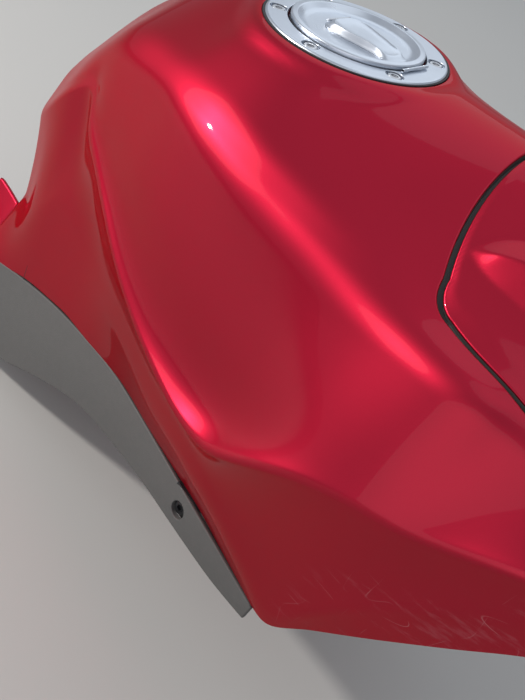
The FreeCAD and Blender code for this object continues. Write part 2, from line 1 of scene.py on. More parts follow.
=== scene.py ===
import functools
import math
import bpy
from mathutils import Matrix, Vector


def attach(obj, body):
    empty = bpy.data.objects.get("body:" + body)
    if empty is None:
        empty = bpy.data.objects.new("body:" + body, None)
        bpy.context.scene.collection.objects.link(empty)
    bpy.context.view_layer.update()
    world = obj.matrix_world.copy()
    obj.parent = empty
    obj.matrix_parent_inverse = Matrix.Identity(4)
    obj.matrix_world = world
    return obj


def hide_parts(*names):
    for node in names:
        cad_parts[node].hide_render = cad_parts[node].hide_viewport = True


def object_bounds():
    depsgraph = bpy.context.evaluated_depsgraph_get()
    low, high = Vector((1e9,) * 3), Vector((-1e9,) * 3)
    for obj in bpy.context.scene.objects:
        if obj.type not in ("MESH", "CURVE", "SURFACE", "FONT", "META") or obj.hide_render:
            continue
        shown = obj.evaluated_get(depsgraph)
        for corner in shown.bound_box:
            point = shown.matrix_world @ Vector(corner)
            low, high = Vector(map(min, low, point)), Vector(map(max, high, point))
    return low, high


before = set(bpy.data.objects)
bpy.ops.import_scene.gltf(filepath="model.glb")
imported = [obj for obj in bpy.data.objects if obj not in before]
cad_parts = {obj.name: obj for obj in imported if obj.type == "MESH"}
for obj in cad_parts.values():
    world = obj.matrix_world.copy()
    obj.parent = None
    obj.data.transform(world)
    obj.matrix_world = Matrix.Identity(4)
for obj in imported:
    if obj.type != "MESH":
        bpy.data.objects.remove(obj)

from types import SimpleNamespace

import bpy
import numpy as np
from bpy.props import FloatProperty, FloatVectorProperty, PointerProperty
from mathutils import Matrix

bl_info = {
    "name": "Motorcycle fuel tank",
    "version": (1, 0, 0),
    "blender": (4, 5, 0),
    "location": "3D View > Sidebar > Tank",
    "description": "Builds the painted tank, its cover, filler cap and side trims over the packed model",
    "category": "Object",
}

CAD_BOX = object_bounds()

# Everything on the tank is measured in millimetres from the middle of the filler ring's top face.
CAP = np.array([-0.358, 0.0, 0.155])
TILT = math.radians(9)

# Crown of the tank: along, height
TOP_LINE = [(-206, -150), (-185, -112), (-165, -84), (-142, -60), (-120, -40), (-66, -11), (0, 0.5), (60, 10),
            (120, 19), (160, 25), (205, 30), (240, 32), (300, 27), (350, 12), (385, -10)]
# The other lines: along, half width, height
UPPER_LINE = [(-206, 27, -161), (-184, 38.5, -136), (-163, 49, -110), (-139, 65, -88), (-116, 81, -67),
              (-56, 103.5, -45), (-23, 114, -37), (15, 122, -31), (47, 124, -30), (81, 123.5, -30), (126, 122, -30),
              (143, 119.5, -29), (164, 117, -28.5), (185, 114.5, -28), (205, 113, -27), (240, 111, -24),
              (300, 106, -20), (350, 96, -28), (385, 84, -46)]
RIDGE_LINE = [(-206, 43, -178), (-184, 54, -152), (-163, 66.5, -128), (-139, 82, -103), (-116, 95, -84),
              (-60, 114, -61), (-44, 119, -55.5), (-16, 130, -51.5), (18, 139, -49.5), (69, 143.5, -50),
              (112, 143.5, -47.5), (157, 144.5, -43.5), (181, 145.5, -40), (204, 147, -35), (228, 149, -31),
              (248, 146, -29), (261, 139, -32), (300, 130, -32), (350, 115, -44), (385, 100, -60)]
CREASE_LINE = [(-206, 59, -214), (-185, 74, -192), (-165, 86, -166), (-142, 94, -136), (-121, 95, -116),
               (-105, 108, -136), (-72, 122, -147), (-35, 138, -157), (6, 152, -171), (57, 166, -183),
               (107, 179, -187), (142, 188, -178), (157, 192, -165), (186, 193, -138), (201, 192, -126),
               (224, 189, -113), (242, 186, -106), (261, 182, -101), (278, 178, -93), (301, 173, -80),
               (320, 168, -70), (350, 158, -60), (385, 142, -72)]
FOLD_LINE = [(-206, 50, -310), (-185, 64, -300), (-165, 80, -285), (-142, 90, -262), (-120, 93, -225),
             (-66, 102, -235), (0, 124, -238), (60, 144, -240), (120, 165, -226), (142, 169, -228), (177, 166, -243),
             (208, 161, -263), (236, 158, -279), (264, 163.8, -215), (300, 163, -147), (350, 152, -97),
             (385, 139, -84)]
EDGE_LINE = [(-206, 86, -371), (-171, 88, -358), (-128, 92, -336), (-97, 96, -324), (-64, 101, -312),
             (-36, 106, -306), (4, 112, -297), (36, 119, -290), (67, 126, -288), (107, 134, -285), (150, 142, -282),
             (179, 147, -284), (202, 151, -285), (238, 156, -287), (264, 156, -251), (288, 155, -218),
             (309, 153, -189), (328, 151, -162.5), (353, 147, -128), (385, 136, -97)]
# Where the crown starts to fall, as a share of its half width, and how softly: along, share, softness
CROWN_FALL = [(-206, 0.05, 0.25), (-142, 0.08, 0.25), (-90, 0.13, 0.26), (-60, 0.27, 0.22), (-30, 0.54, 0.13),
              (0, 0.57, 0.12), (30, 0.49, 0.13), (60, 0.22, 0.22), (120, 0.1, 0.25), (205, 0.1, 0.3), (300, 0.1, 0.4),
              (385, 0.1, 0.4)]
# How far each line is rounded over on both sides of it: along, upper, ridge, crease, fold
ROUNDING = [(-206, 8, 8, 8, 6), (-120, 10, 12, 5, 8), (-60, 10, 14, 4, 10), (0, 8, 14, 3.5, 14), (80, 8, 14, 4, 16),
            (125, 8, 14, 5, 14), (150, 9, 13, 7, 14), (175, 9, 13, 7, 14), (200, 12, 13, 5, 14), (260, 12, 12, 5, 10),
            (385, 10, 10, 6, 6)]
# Flare of the side towards the crease, and swell of the recess between crease and fold: along, flare, recess
SWELL = [(-206, 0, -2), (-120, 2, -5), (-40, 4, -6), (60, 6, -7), (105, 10, -7), (145, 11, -6), (172, 2, -5),
         (200, 0.5, -4), (260, 0.3, -2), (385, 0, 0)]

# Points across half the crown on the shell and on the cover
SHELL_COLUMNS, COVER_COLUMNS = 34, 90

# Both ends of the tank and how far they round over, the room underneath, and the sheet's thickness
REAR_END, FRONT_END, END_ROUND = -206.0, 385.0, 6.0
TUNNEL_HALF, TUNNEL_ROOF, REAR_HALF, REAR_ROOF, REAR_WALL = 70.0, -150.0, 75.0, -300.0, -40.0
SKIRT = 5.0

# Wing under the seat: along, half width of its top and foot, height of top and foot
WING = [(-240, 52, 84, -322, -385), (-224, 54, 85, -322, -379), (-206, 57, 86, -322, -370)]

# Seam of the front cover seen from above: arcs through three points, one half. The seam lies ahead of its start
# and above its low level, and points off it count as far away.
SEAM_ARCS = [((147, 0), (155, 62), (178, 104)), ((178, 104), (186, 115), (200, 121)),
             ((200, 121), (232, 127), (266, 129)), ((266, 129), (320, 115), (352, 103)),
             ((352, 103), (385, 90), (425, 72))]
SEAM_START, SEAM_LOW, FAR = 135.0, -100.0, 500.0
SEAM_MIDDLE = (300, 0)
COVER_SKIN, SHELF_GAP = 5.0, 0.4

# Scratched part of the right side: forward of this place and below a line of this height and rise, in metres
WORN_START, WORN_HEIGHT, WORN_RISE = -0.13, 0.115, 1.2

# Grain of the noises in the lacquer: slow cloud and metallic flake, faint orange peel
CLOUD, FLAKE, PEEL = 9.0, 2600.0, 420.0

# Horn of the cover: along, half width of its foot, its ridge and its inner side, height
HORN = [(174, 86, 86, 85.5, 0), (176, 87, 85.4, 80, 0.6), (178, 87.6, 84.8, 75, 1.5), (182, 88.6, 83.4, 70, 2.9),
        (190, 89.8, 82, 64, 6.3), (203, 91, 79, 58, 8), (240, 91.5, 77, 54, 9), (300, 88, 74, 52, 8),
        (350, 84, 70, 54, 4), (385, 80, 68, 56, 1)]

# Side trim: along, half width of its top and foot, drop
TRIM = [(-215, 86, 100, 87.7), (-165, 89, 109, 90), (-109, 95, 115, 82), (-49, 104, 119, 62), (4, 112, 124, 46),
        (56, 124, 131, 40), (98, 134, 139, 33), (140, 143, 147, 28), (185, 150, 152, 24), (225, 155, 155, 15)]
# Lower edge of the tank seen from the side: along, height
LOWER_EDGE = [(-245, -388), (-128, -336), (-64, -312), (36, -290), (150, -282), (238, -287)]

# Filler cap, measured on the ring. Profiles are radius, height and rounding of each corner
LID = [(0, -0.8), (38.0, -0.8, 8.0), (43.6, 3.3, 1.6), (47.9, 2.9, 1.3), (47.9, -5), (0, -5)]
BOLT_CIRCLE, FIRST_BOLT, BOLTS = 56.2, math.radians(35), 6
HINGE_ALONG, HINGE_HEIGHT, HINGE_RADIUS, LID_EYE = 50, 1.5, 1.15, 8.8

# Screws: profile, half width and depth of the six-sided recess
RING_SCREW = ([(4.0, -0.6), (4.6, -0.6, 0.6), (4.6, -3.0), (2.5, -3.0), (2.5, -7.0), (0, -7.0)], 2.5, 1.5)
TRIM_SCREW = ([(4.9, 3.0), (6.3, 3.0, 1.4), (6.3, -1.5), (0, -1.5)], 3.0, 2.0)
TRIM_SCREW_ALONG, TRIM_SCREW_OUT, TRIM_SCREW_HEIGHT = 136, 139.0, -298

# Plain finishes: colour or the name of its setting, metallic, roughness, grain, bump
PLAIN = {"cap_alloy": ("alloy", 1.0, 0.3, 40.0, 0.0), "steel": ((0.62, 0.63, 0.65), 1.0, 0.32, 90.0, 0.0),
         "black_rubber": ((0.02, 0.02, 0.022), 0.0, 0.7, 120.0, 0.2),
         # Black plastic of the trims; the same finish is painted shade on the walls and shelf in the cover's seam
         "black_plastic": ("trim", 0.0, 0.62, 160.0, 0.35),
         "black_metal": ((0.03, 0.03, 0.033), 0.6, 0.4, 90.0, 0.0),
         "brass": ((0.7, 0.52, 0.26), 1.0, 0.3, 90.0, 0.0)}

# Finish of each fitting, and of each solid under a piece that the scene makes
FITTINGS = {
    "red_paint": ("tank_shell", "front_cover"),
    "cap_alloy": ("cap_ring", "cap_lid", "key_cover"),
    "steel": ("ring_bolts", "filler_neck", "hinge_pin", "key_cover_pin", "lock_cylinder", "pump_plate", "pump_bolts",
              "front_collars", "rear_sleeve", "breather_stub", "drain_stub"),
    "black_rubber": ("ring_gasket", "lid_seal", "pump_gasket", "front_grommets", "rear_bush", "damper_pads"),
    "black_plastic": ("side_trim_right", "side_trim_left", "pump_connector"),
    "black_metal": ("trim_screw_right", "trim_screw_left", "trim_brackets_right", "trim_brackets_left",
                    "front_bracket", "rear_tab"),
    "brass": ("fuel_outlet",),
}

# Camera: its place from the cap in millimetres, and its right, down and ahead directions
CAMERA_PLACE, LENS, SENSOR = (291.7815, -519.3489, 243.9132), 36.0 * 900 / 700, 36.0
RIGHT, DOWNWARD = np.array([0.6350216, 0.6650532, 0.3930036]), np.array([0.7113481, -0.3050528, -0.6331877])
AHEAD = np.array([-0.3012167, 0.6816502, -0.6667994])

# Light round the tank, and lamps in metres: name, place, aim, width, power, colour
SKY_COLOUR, SKY_STRENGTH = (0.84, 0.9, 1.0, 1), 0.45
LAMPS = [("key_core", (-1.98, -1.25, 1.1), (-0.3, 0, 0), 0.14, 38, (1, 0.96, 0.93)),
         ("key_halo", (-1.98, -1.25, 1.1), (-0.3, 0, 0), 1.9, 12, (1, 0.97, 0.94)),
         ("side", (0.77, -2.3, 0.71), (-0.1, -0.1, 0.1), 2.8, 14, (1, 0.95, 0.95)),
         ("sky", (-1.2, 1.5, 1.5), (-0.3, 0, 0), 2.2, 8, (0.86, 0.93, 1)),
         ("top", (0.3, 0.4, 2.6), (-0.3, 0, 0), 2.4, 8, (0.9, 0.95, 1))]
FLOOR_HALF, FLOOR_GAP = 6, 0.0005

UP, DOWN = np.array([0, 0, 1.0]), np.array([0, 0, -1.0])


def sizes():
    """The tank's sizes in millimetres."""
    group = bpy.context.scene.tank_sizes
    return SimpleNamespace(**{key: round(getattr(group, key) * 1000, 4) for key in TankSizes.__annotations__})


def colours():
    return bpy.context.scene.tank_colours


def in_frame(points):
    """Millimetres from the cap's centre to metres in the part's frame."""
    return np.asarray(points, float) / 1000 + CAP


def on_cap(points, tilt=TILT):
    """Points measured along and square to the ring's tilted face, turned into tank directions."""
    p = np.asarray(points, float)
    c, s = math.cos(tilt), math.sin(tilt)
    return np.stack([p[..., 0] * c - p[..., 2] * s, p[..., 1], p[..., 0] * s + p[..., 2] * c], -1)


def to_cap(points):
    """The reverse of on_cap."""
    return on_cap(points, -TILT)


def unit(v):
    return v / np.maximum(np.linalg.norm(v, axis=-1, keepdims=True), 1e-12)


def ease(t):
    """Smooth step from 0 to 1."""
    t = np.clip(t, 0, 1)
    return t * t * (3 - 2 * t)


def lesser(a, b, soft):
    """The smaller of two values, rounded where they meet."""
    return 0.5 * (a + b - np.hypot(a - b, soft))


def ring_angles(count):
    return np.arange(count) * 2 * math.pi / count


def circles(radius, height, count, centre=(0, 0)):
    """Grid of points on a circle of each radius, at each height, round an upright axis."""
    angle = ring_angles(count)
    return np.stack([centre[0] + radius * np.cos(angle), centre[1] + radius * np.sin(angle),
                     height + 0 * radius * angle], -1)


def cubic(a, slope_a, b, slope_b, t):
    """Cubic from a at nought to b at one, with the given slopes at its two ends."""
    return (a * (1 + 2 * t) * (1 - t) ** 2 + slope_a * t * (1 - t) ** 2
            + b * t * t * (3 - 2 * t) + slope_b * t * t * (t - 1))


def monotone(knots, values, x):
    """Cubic through the knots without overshoot: a knot's slope is the weighted harmonic mean of the slopes on
    both sides of it, and nought where they differ in sign."""
    h = np.diff(knots)
    d = np.diff(values) / h
    same = d[1:] * d[:-1] > 0
    before, after = np.where(same, d[:-1], 1), np.where(same, d[1:], 1)
    w1, w2 = 2 * h[1:] + h[:-1], h[1:] + 2 * h[:-1]
    m = np.concatenate([[d[0]], np.where(same, (w1 + w2) / (w1 / before + w2 / after), 0), [d[-1]]])
    i = np.clip(np.searchsorted(knots, x) - 1, 0, len(h) - 1)
    t = (x - knots[i]) / h[i]
    return cubic(values[i], h[i] * m[i], values[i + 1], h[i] * m[i + 1], t)


def faired(table, x, blur=8.0):
    """Columns of a table at x: a cubic without overshoot, drawn every millimetre and blurred with a bell curve of
    that width, its ends carried on by point reflection."""
    rows = np.array(table, float)
    grid = np.arange(rows[0, 0], rows[-1, 0] + 0.5)
    pad = int(3 * blur) + 1
    bell = np.exp(-0.5 * (np.arange(-pad, pad + 1) / blur) ** 2)
    bell /= bell.sum()
    columns = []
    for k in range(1, rows.shape[1]):
        line = monotone(rows[:, 0], rows[:, k], grid)
        head = 2 * line[0] - line[1:pad + 1][::-1]
        tail = 2 * line[-1] - line[-pad - 1:-1][::-1]
        columns.append(np.interp(x, grid, np.convolve(np.concatenate([head, line, tail]), bell, "valid")))
    return np.stack(columns, -1)


def smooth_normals(grid, around=False):
    """Unit normals of a grid surface: the cross product of its two tangents. A tangent is the mean of the steps to
    both neighbours, each weighted by the other's length."""
    tangents = []
    for axis in (0, 1):
        p = np.moveaxis(grid, axis, 0)
        if axis == 1 and around:
            before, after = p - np.roll(p, 1, 0), np.roll(p, -1, 0) - p
        else:
            step = np.diff(p, axis=0)
            before, after = np.concatenate([step[:1], step]), np.concatenate([step, step[-1:]])
        a = np.maximum(np.linalg.norm(before, axis=-1, keepdims=True), 1e-9)
        b = np.maximum(np.linalg.norm(after, axis=-1, keepdims=True), 1e-9)
        tangents.append(np.moveaxis((after / b * a + before / a * b) / (a + b), 0, axis))
    return unit(np.cross(tangents[0], tangents[1]))


def normals_to(grid, axis, sign):
    """Normals of a grid, turned over where on the whole they don't look along the axis."""
    normal = smooth_normals(grid)
    return normal if (normal[..., axis] * sign).mean() > 0 else -normal


def grid_faces(rows, columns, around=False):
    """Two triangles for each cell of a grid, the last column joined to the first if it goes around."""
    i, j = np.meshgrid(np.arange(rows - 1), np.arange(columns if around else columns - 1), indexing="ij")
    k = (j + 1) % columns
    a, b, c, d = i * columns + j, (i + 1) * columns + j, (i + 1) * columns + k, i * columns + k
    return np.concatenate([np.stack([a, b, c], -1).reshape(-1, 3), np.stack([a, c, d], -1).reshape(-1, 3)])


def clip(points, normals, faces, field):
    """Keeps the part of a mesh where the field is above nought. Each edge that crosses gets a point where the
    field, taken as straight along it, is nought. Returns the mesh and the numbers of its new points."""
    inside = field > 0
    count = inside[faces].sum(1)
    turned = []
    for wanted, lead in ((1, True), (2, False)):
        some = faces[count == wanted]
        first = np.argmax(inside[some] == lead, axis=1)
        turned.append(np.stack([some[np.arange(len(some)), (first + k) % 3] for k in range(3)], -1))
    one, two = turned
    ends = np.sort(np.concatenate([one[:, [0, 1]], one[:, [0, 2]], two[:, [0, 1]], two[:, [0, 2]]]), axis=1)
    pairs, at = np.unique(ends, axis=0, return_inverse=True)
    at = at.reshape(-1)
    a, b = pairs[:, 0], pairs[:, 1]
    t = (field[a] / (field[a] - field[b]))[:, None]
    new_points = points[a] * (1 - t) + points[b] * t
    new_normals = unit(normals[a] * (1 - t) + normals[b] * t)
    base, n, m = len(points), len(one), len(two)
    p1, q1, p2, q2 = base + at[:n], base + at[n:2 * n], base + at[2 * n:2 * n + m], base + at[2 * n + m:]
    faces = np.concatenate([faces[count == 3], np.stack([one[:, 0], p1, q1], -1),
                            np.stack([p2, two[:, 1], two[:, 2]], -1), np.stack([p2, two[:, 2], q2], -1)])
    return (np.concatenate([points, new_points]), np.concatenate([normals, new_normals]), faces,
            base + np.arange(len(pairs)))


class Skin:
    """Patches gathered into one mesh. Each has points, outward normals, triangles and a finish number."""

    def __init__(self):
        self.points, self.normals, self.faces, self.marks, self.total = [], [], [], [], 0

    def add(self, points, normals, faces, mark=0):
        """Takes in a patch. A triangle that looks against its normals is turned over."""
        points, normals = np.asarray(points).reshape(-1, 3), np.asarray(normals).reshape(-1, 3)
        a, b, c = (points[faces[:, k]] for k in range(3))
        wrong = (np.cross(b - a, c - a) * normals[faces].sum(1)).sum(1) < 0
        faces = np.where(wrong[:, None], faces[:, ::-1], faces)
        self.points.append(points)
        self.normals.append(normals)
        self.faces.append(faces + self.total)
        self.marks.append(np.full(len(faces), mark))
        self.total += len(points)

    def facing(self, points, way, around=False):
        """A grid of points whose faces all look one way."""
        self.add(points, np.broadcast_to(way, points.shape), grid_faces(*points.shape[:2], around))

    def fan(self, ring, centre, way):
        """The flat face between a ring of points and its centre."""
        self.facing(np.stack([ring, np.broadcast_to(centre, ring.shape)]), way, True)

    def lip(self, points, normals, outward, radius, depth, around=True, sink=None, steps=6, mark=0, wall_mark=0):
        """Rolled edge: from each rim point a quarter turn of the radius out of the face and down, then straight
        down to the depth. Down is against the normal, or against the direction given as sink."""
        up = normals if sink is None else np.broadcast_to(sink, normals.shape)
        rows, faces_to = [], []
        for k in range(steps + 1):
            a = math.pi / 2 * k / steps
            rows.append(points + outward * radius * math.sin(a) - up * radius * (1 - math.cos(a)))
            faces_to.append(outward * math.sin(a) + normals * math.cos(a))
        if depth > radius:
            for d in (0.0, 1.0):
                rows.append(points + outward * radius - up * (radius + (depth - radius) * d))
                faces_to.append(outward)
        rows, faces_to = np.stack(rows, 1), np.stack(faces_to, 1)
        if around:
            rows, faces_to = np.concatenate([rows, rows[:1]]), np.concatenate([faces_to, faces_to[:1]])
        faces_to, roll = unit(faces_to), slice(0, steps + 1)
        self.add(rows[:, roll], faces_to[:, roll], grid_faces(rows.shape[0], steps + 1), mark)
        if rows.shape[1] > steps + 1:
            self.add(rows[:, -2:], faces_to[:, -2:], grid_faces(rows.shape[0], 2), wall_mark)
        return rows[:-1, -1] if around else rows[:, -1]

    def edge(self, points, normals, thick, radius):
        """Rounded edge round a sheet that is given as a grid: from each border point a quarter turn out of the face,
        straight down, and a quarter turn back under it."""
        n, m = points.shape[:2]
        index = np.arange(n * m).reshape(n, m)
        loop = np.concatenate([index[0, :-1], index[:-1, -1], index[-1, :0:-1], index[:0:-1, 0]])
        p, up = points.reshape(-1, 3)[loop], normals.reshape(-1, 3)[loop]
        along = unit(unit(np.roll(p, -1, 0) - p) + unit(p - np.roll(p, 1, 0)))
        out = unit(np.cross(along, up))
        if ((p - points.reshape(-1, 3).mean(0)) * out).sum(1).mean() < 0:
            out = -out
        rows, faces_to = [], []
        for k in range(13):
            a = math.pi * k / 12
            down = radius * (1 - math.cos(a)) if k <= 6 else thick - radius * (1 + math.cos(a))
            rows.append(p + out * radius * math.sin(a) - up * down)
            faces_to.append(unit(out * math.sin(a) + up * math.cos(a)))
        self.add(np.stack(rows), np.stack(faces_to), grid_faces(13, len(p), True))

    def plate(self, points, normals, thick, radius):
        """A sheet of the given thickness behind a grid, with a rounded edge all round."""
        faces = grid_faces(*points.shape[:2])
        self.add(points, normals, faces)
        self.add(points - normals * thick, -normals, faces)
        self.edge(points, normals, thick, radius)

    def turned(self, profile, count, centre=(0, 0)):
        """A profile of (radius, height) corners turned about an upright axis. Corners given with a third value are
        rounded by that radius. Each straight run keeps its own normals."""
        for run in rounded_profile(profile):
            radius, height, out, up = (v[:, None] for v in run)
            ring = circles(radius, height, count, centre)
            self.add(ring, circles(out, up, count), grid_faces(len(ring), count, True))

    def piece(self, name, materials, place=in_frame):
        """Joins the patches at shared points and makes the mesh, with the patches' own normals at its corners."""
        points, faces = np.concatenate(self.points), np.concatenate(self.faces)
        normals, marks = np.concatenate(self.normals), np.concatenate(self.marks)
        shared, at = np.unique(np.round(points / 0.004).astype(np.int64), axis=0, return_inverse=True)
        at = at.reshape(-1)
        joined = np.zeros((len(shared), 3))
        joined[at] = points
        corner = at[faces]
        whole = (corner[:, 0] != corner[:, 1]) & (corner[:, 1] != corner[:, 2]) & (corner[:, 0] != corner[:, 2])
        corner, faces, marks = corner[whole], faces[whole], marks[whole]
        used, corner_at = np.unique(corner, return_inverse=True)
        corner, joined = corner_at.reshape(-1, 3), joined[used]
        mesh = bpy.data.meshes.new(name)
        mesh.vertices.add(len(joined))
        mesh.vertices.foreach_set("co", place(joined).astype(np.float32).ravel())
        mesh.loops.add(corner.size)
        mesh.loops.foreach_set("vertex_index", corner.astype(np.int32).ravel())
        mesh.polygons.add(len(corner))
        mesh.polygons.foreach_set("loop_start", np.arange(0, corner.size, 3, dtype=np.int32))
        mesh.polygons.foreach_set("material_index", marks.astype(np.int32))
        mesh.polygons.foreach_set("use_smooth", np.ones(len(corner), bool))
        mesh.update(calc_edges=True)
        turned = place(normals[faces].reshape(-1, 3)) - place(np.zeros((1, 3)))
        mesh.normals_split_custom_set(unit(turned).astype(np.float32))
        for material in materials:
            mesh.materials.append(material)
        made = bpy.data.objects.new(name, mesh)
        bpy.context.scene.collection.objects.link(made)
        return made


def rounded_profile(profile):
    """Runs of (radius, height, normal out, normal up) along a profile. A corner with a rounding becomes an arc whose
    normals turn smoothly from one side to the other; other corners stay sharp. The outside is to the left."""
    corners = [np.array(p[:2], float) for p in profile]
    rounds = [p[2] if len(p) > 2 else 0.0 for p in profile]
    runs, start = [], corners[0]
    for k in range(1, len(corners)):
        way = unit(corners[k] - corners[k - 1])
        side = np.array([-way[1], way[0]])
        stop, bend = corners[k], rounds[k] if k < len(corners) - 1 else 0.0
        if bend:
            ahead = unit(corners[k + 1] - corners[k])
            half = math.acos(np.clip(way @ ahead, -1, 1)) / 2
            stop = corners[k] - way * bend * math.tan(half)
        line = np.stack([start, stop])
        runs.append((line[:, 0], line[:, 1], np.full(2, side[0]), np.full(2, side[1])))
        start = corners[k]
        if bend:
            start = corners[k] + ahead * bend * math.tan(half)
            turn = np.sign(way[0] * ahead[1] - way[1] * ahead[0])
            centre = stop + side * bend * turn
            t = np.linspace(0, 1, 7)[:, None]
            beside = np.array([-ahead[1], ahead[0]])
            face = unit(side * (1 - t) + beside * t)
            arc = centre - face * bend * turn
            runs.append((arc[:, 0], arc[:, 1], face[:, 0], face[:, 1]))
    return runs


# Outer form of the tank

def leg(a, b, swell, start, stop, count, lean=1):
    """Straight run from a to b, from start after a to stop before b, swelled to the outside by the share s of the
    way to the power lean times 1 - s, scaled to reach the swell at its highest. Returns its points and the
    directions at its two ends."""
    run = b - a
    length = np.linalg.norm(run, axis=-1)
    squeeze = np.minimum(1, 0.92 * length / np.maximum(start + stop, 1e-6))
    first, last = (start * squeeze / length)[:, None], 1 - (stop * squeeze / length)[:, None]
    out = unit(np.stack([-run[:, 1], run[:, 0]], -1))
    s = (first + (last - first) * np.linspace(0, 1, count))[..., None]
    swell = np.asarray(swell)[:, None] * (lean + 1) ** (lean + 1) / lean ** lean
    points = a[:, None] + run[:, None] * s + out[:, None] * (swell[..., None] * s ** lean * (1 - s))
    ends = [run + out * swell * (lean * t ** (lean - 1) - (lean + 1) * t ** lean) for t in (first, last)]
    return points, *ends


def bend(a, along_a, b, along_b, count):
    """Cubic from a to b that leaves along one direction and arrives along the other, its slopes 1.08 of the
    distance. Its ends are left out."""
    reach = np.linalg.norm(b - a, axis=-1, keepdims=True) * 1.08
    t = np.linspace(0, 1, count + 2)[1:-1][None, :, None]
    return cubic(*(v[:, None] for v in (a, unit(along_a) * reach, b, unit(along_b) * reach)), t)


def sections(x, across):
    """Half sections at the places x: crown, upper line, shoulder, ridge, side, crease, recess, fold and skirt. The
    crown falls as the sum of two hypotenuses, each of the softness and the share of the half width less or plus the
    start, so that it is level at the middle. The others are swelled runs joined by bends."""
    top = faired(TOP_LINE, x)[:, 0]
    upper, ridge, crease = (faired(t, x) for t in (UPPER_LINE, RIDGE_LINE, CREASE_LINE))
    fold, edge = faired(FOLD_LINE, x), faired(EDGE_LINE, x, 5.0)
    edge[:, 1] += sizes().hem
    start, soft = (v[:, None] for v in faired(CROWN_FALL, x, 8.0).T)
    by_upper, by_ridge, by_crease, by_fold = faired(ROUNDING, x, 15.0).T
    flare, recess_swell = faired(SWELL, x, 20.0).T
    shoulder = np.linalg.norm(ridge - upper, axis=-1)
    last = 1 - by_upper / upper[:, 0]
    s = np.linspace(0, 1, across) * last[:, None]
    low, whole, drop = (np.hypot(v - start, soft) + np.hypot(v + start, soft) for v in (0, 1, s))
    fall = (top - upper[:, 1])[:, None] / (whole - low)
    crown = np.stack([upper[:, :1] * s, top[:, None] - fall * (drop - low)], -1)
    slope = sum(v / np.hypot(v, soft) for v in (last[:, None] - start, last[:, None] + start))
    crown_way = np.concatenate([upper[:, :1], -fall * slope], -1)
    none = np.zeros(len(x))
    band, band_in, band_out = leg(upper, ridge, none, np.minimum(by_upper, shoulder * 0.48),
                                  np.minimum(by_ridge, shoulder * 0.42), across // 8)
    flank, flank_in, flank_out = leg(ridge, crease, -flare, by_ridge, by_crease, 44, 5)
    recess, recess_in, recess_out = leg(crease, fold, recess_swell, by_crease, by_fold, 20)
    skirt, skirt_in, _ = leg(fold, edge, none, by_fold, none, 14)
    return np.concatenate([crown, bend(crown[:, -1], crown_way, band[:, 0], band_in, 9), band,
                           bend(band[:, -1], band_out, flank[:, 0], flank_in, 9), flank,
                           bend(flank[:, -1], flank_out, recess[:, 0], recess_in, 10), recess,
                           bend(recess[:, -1], recess_out, skirt[:, 0], skirt_in, 8), skirt], 1)


def outer_form(step, across):
    """Grid of the whole outer skin, from the rear end to the front one and from the right edge over the crown to the
    left edge. Round the filler it is drawn to a plane just under the ring, and both ends round over."""
    turn = np.linspace(math.pi / 2, 0, 7)[:-1]
    along, inward = END_ROUND * (1 - np.sin(turn)), END_ROUND * (1 - np.cos(turn))
    middle = np.linspace(REAR_END + END_ROUND, FRONT_END - END_ROUND, int(590 / step))
    x = np.concatenate([REAR_END + along, middle, FRONT_END - along[::-1]])
    inset = np.concatenate([inward, np.zeros(len(middle)), inward[::-1]])
    half = sections(x, across)
    way = np.gradient(half, axis=1)
    half = half - unit(np.stack([-way[..., 1], way[..., 0]], -1)) * inset[:, None, None]
    half[:, 0, 0] = 0
    yz = np.concatenate([half[:, :0:-1] * [-1, 1], half], 1)
    grid = np.concatenate([np.broadcast_to(x[:, None, None], yz.shape[:2] + (1,)), yz], -1)
    local = to_cap(grid)
    reach = np.hypot(local[..., 0], local[..., 1])
    pull = np.where(np.abs(local[..., 2]) < 40, 1 - ease((reach - sizes().seat_radius - 1) / sizes().pad_width), 0)
    local[..., 2] += pull * (sizes().pad_height - local[..., 2])
    return on_cap(local)


def seam_line():
    """Points of the seam every 1.5 mm, from the left front round the rear to the right front."""
    half = []
    for arc in SEAM_ARCS:
        a, b, c = (np.array(p, float) for p in arc)
        rows = 2 * np.array([b - a, c - a])
        centre = np.linalg.solve(rows, [b @ b - a @ a, c @ c - a @ a])
        start, stop = (math.atan2(*(p - centre)[::-1]) for p in (a, c))
        stop = start + (stop - start + math.pi) % (2 * math.pi) - math.pi
        count = max(3, int(abs(stop - start) * np.linalg.norm(a - centre) / 1.5))
        t = np.linspace(start, stop, count)[:-1]
        half.append(centre + np.linalg.norm(a - centre) * np.stack([np.cos(t), np.sin(t)], -1))
    half = np.concatenate(half + [np.array([SEAM_ARCS[-1][2]], float)])
    return np.concatenate([half[::-1], half[1:] * [1, -1]])


def inside_seam(x, y):
    """Distance from the seam, above nought under the cover, and the direction in which it grows. The direction is
    blended between the seam's corners."""
    line = seam_line()
    a, step = line[:-1], np.diff(line, axis=0)
    corner = unit(np.concatenate([step[:1], unit(step[1:]) + unit(step[:-1]), step[-1:]]))
    inward = np.stack([-corner[:, 1], corner[:, 0]], -1)
    value, grow = np.empty(len(x)), np.empty((len(x), 2))
    for start in range(0, len(x), 4000):
        p = np.stack([x[start:start + 4000], y[start:start + 4000]], -1)
        rel = p[:, None] - a
        t = np.clip((rel * step).sum(-1) / (step * step).sum(-1), 0, 1)
        near = np.linalg.norm(rel - step * t[..., None], axis=-1)
        k = near.argmin(1)
        s = t[np.arange(len(p)), k][:, None]
        way = unit(inward[k] * (1 - s) + inward[k + 1] * s)
        foot = a[k] + step[k] * s
        value[start:start + 4000] = near[np.arange(len(p)), k] * np.sign(((p - foot) * way).sum(1))
        grow[start:start + 4000] = way
    return value, grow


def near_seam(x, y):
    """Distance inside the seam, left at far outside behind its start."""
    value = np.full(len(x), -FAR)
    near = x > SEAM_START
    value[near] = inside_seam(x[near], y[near])[0]
    return value


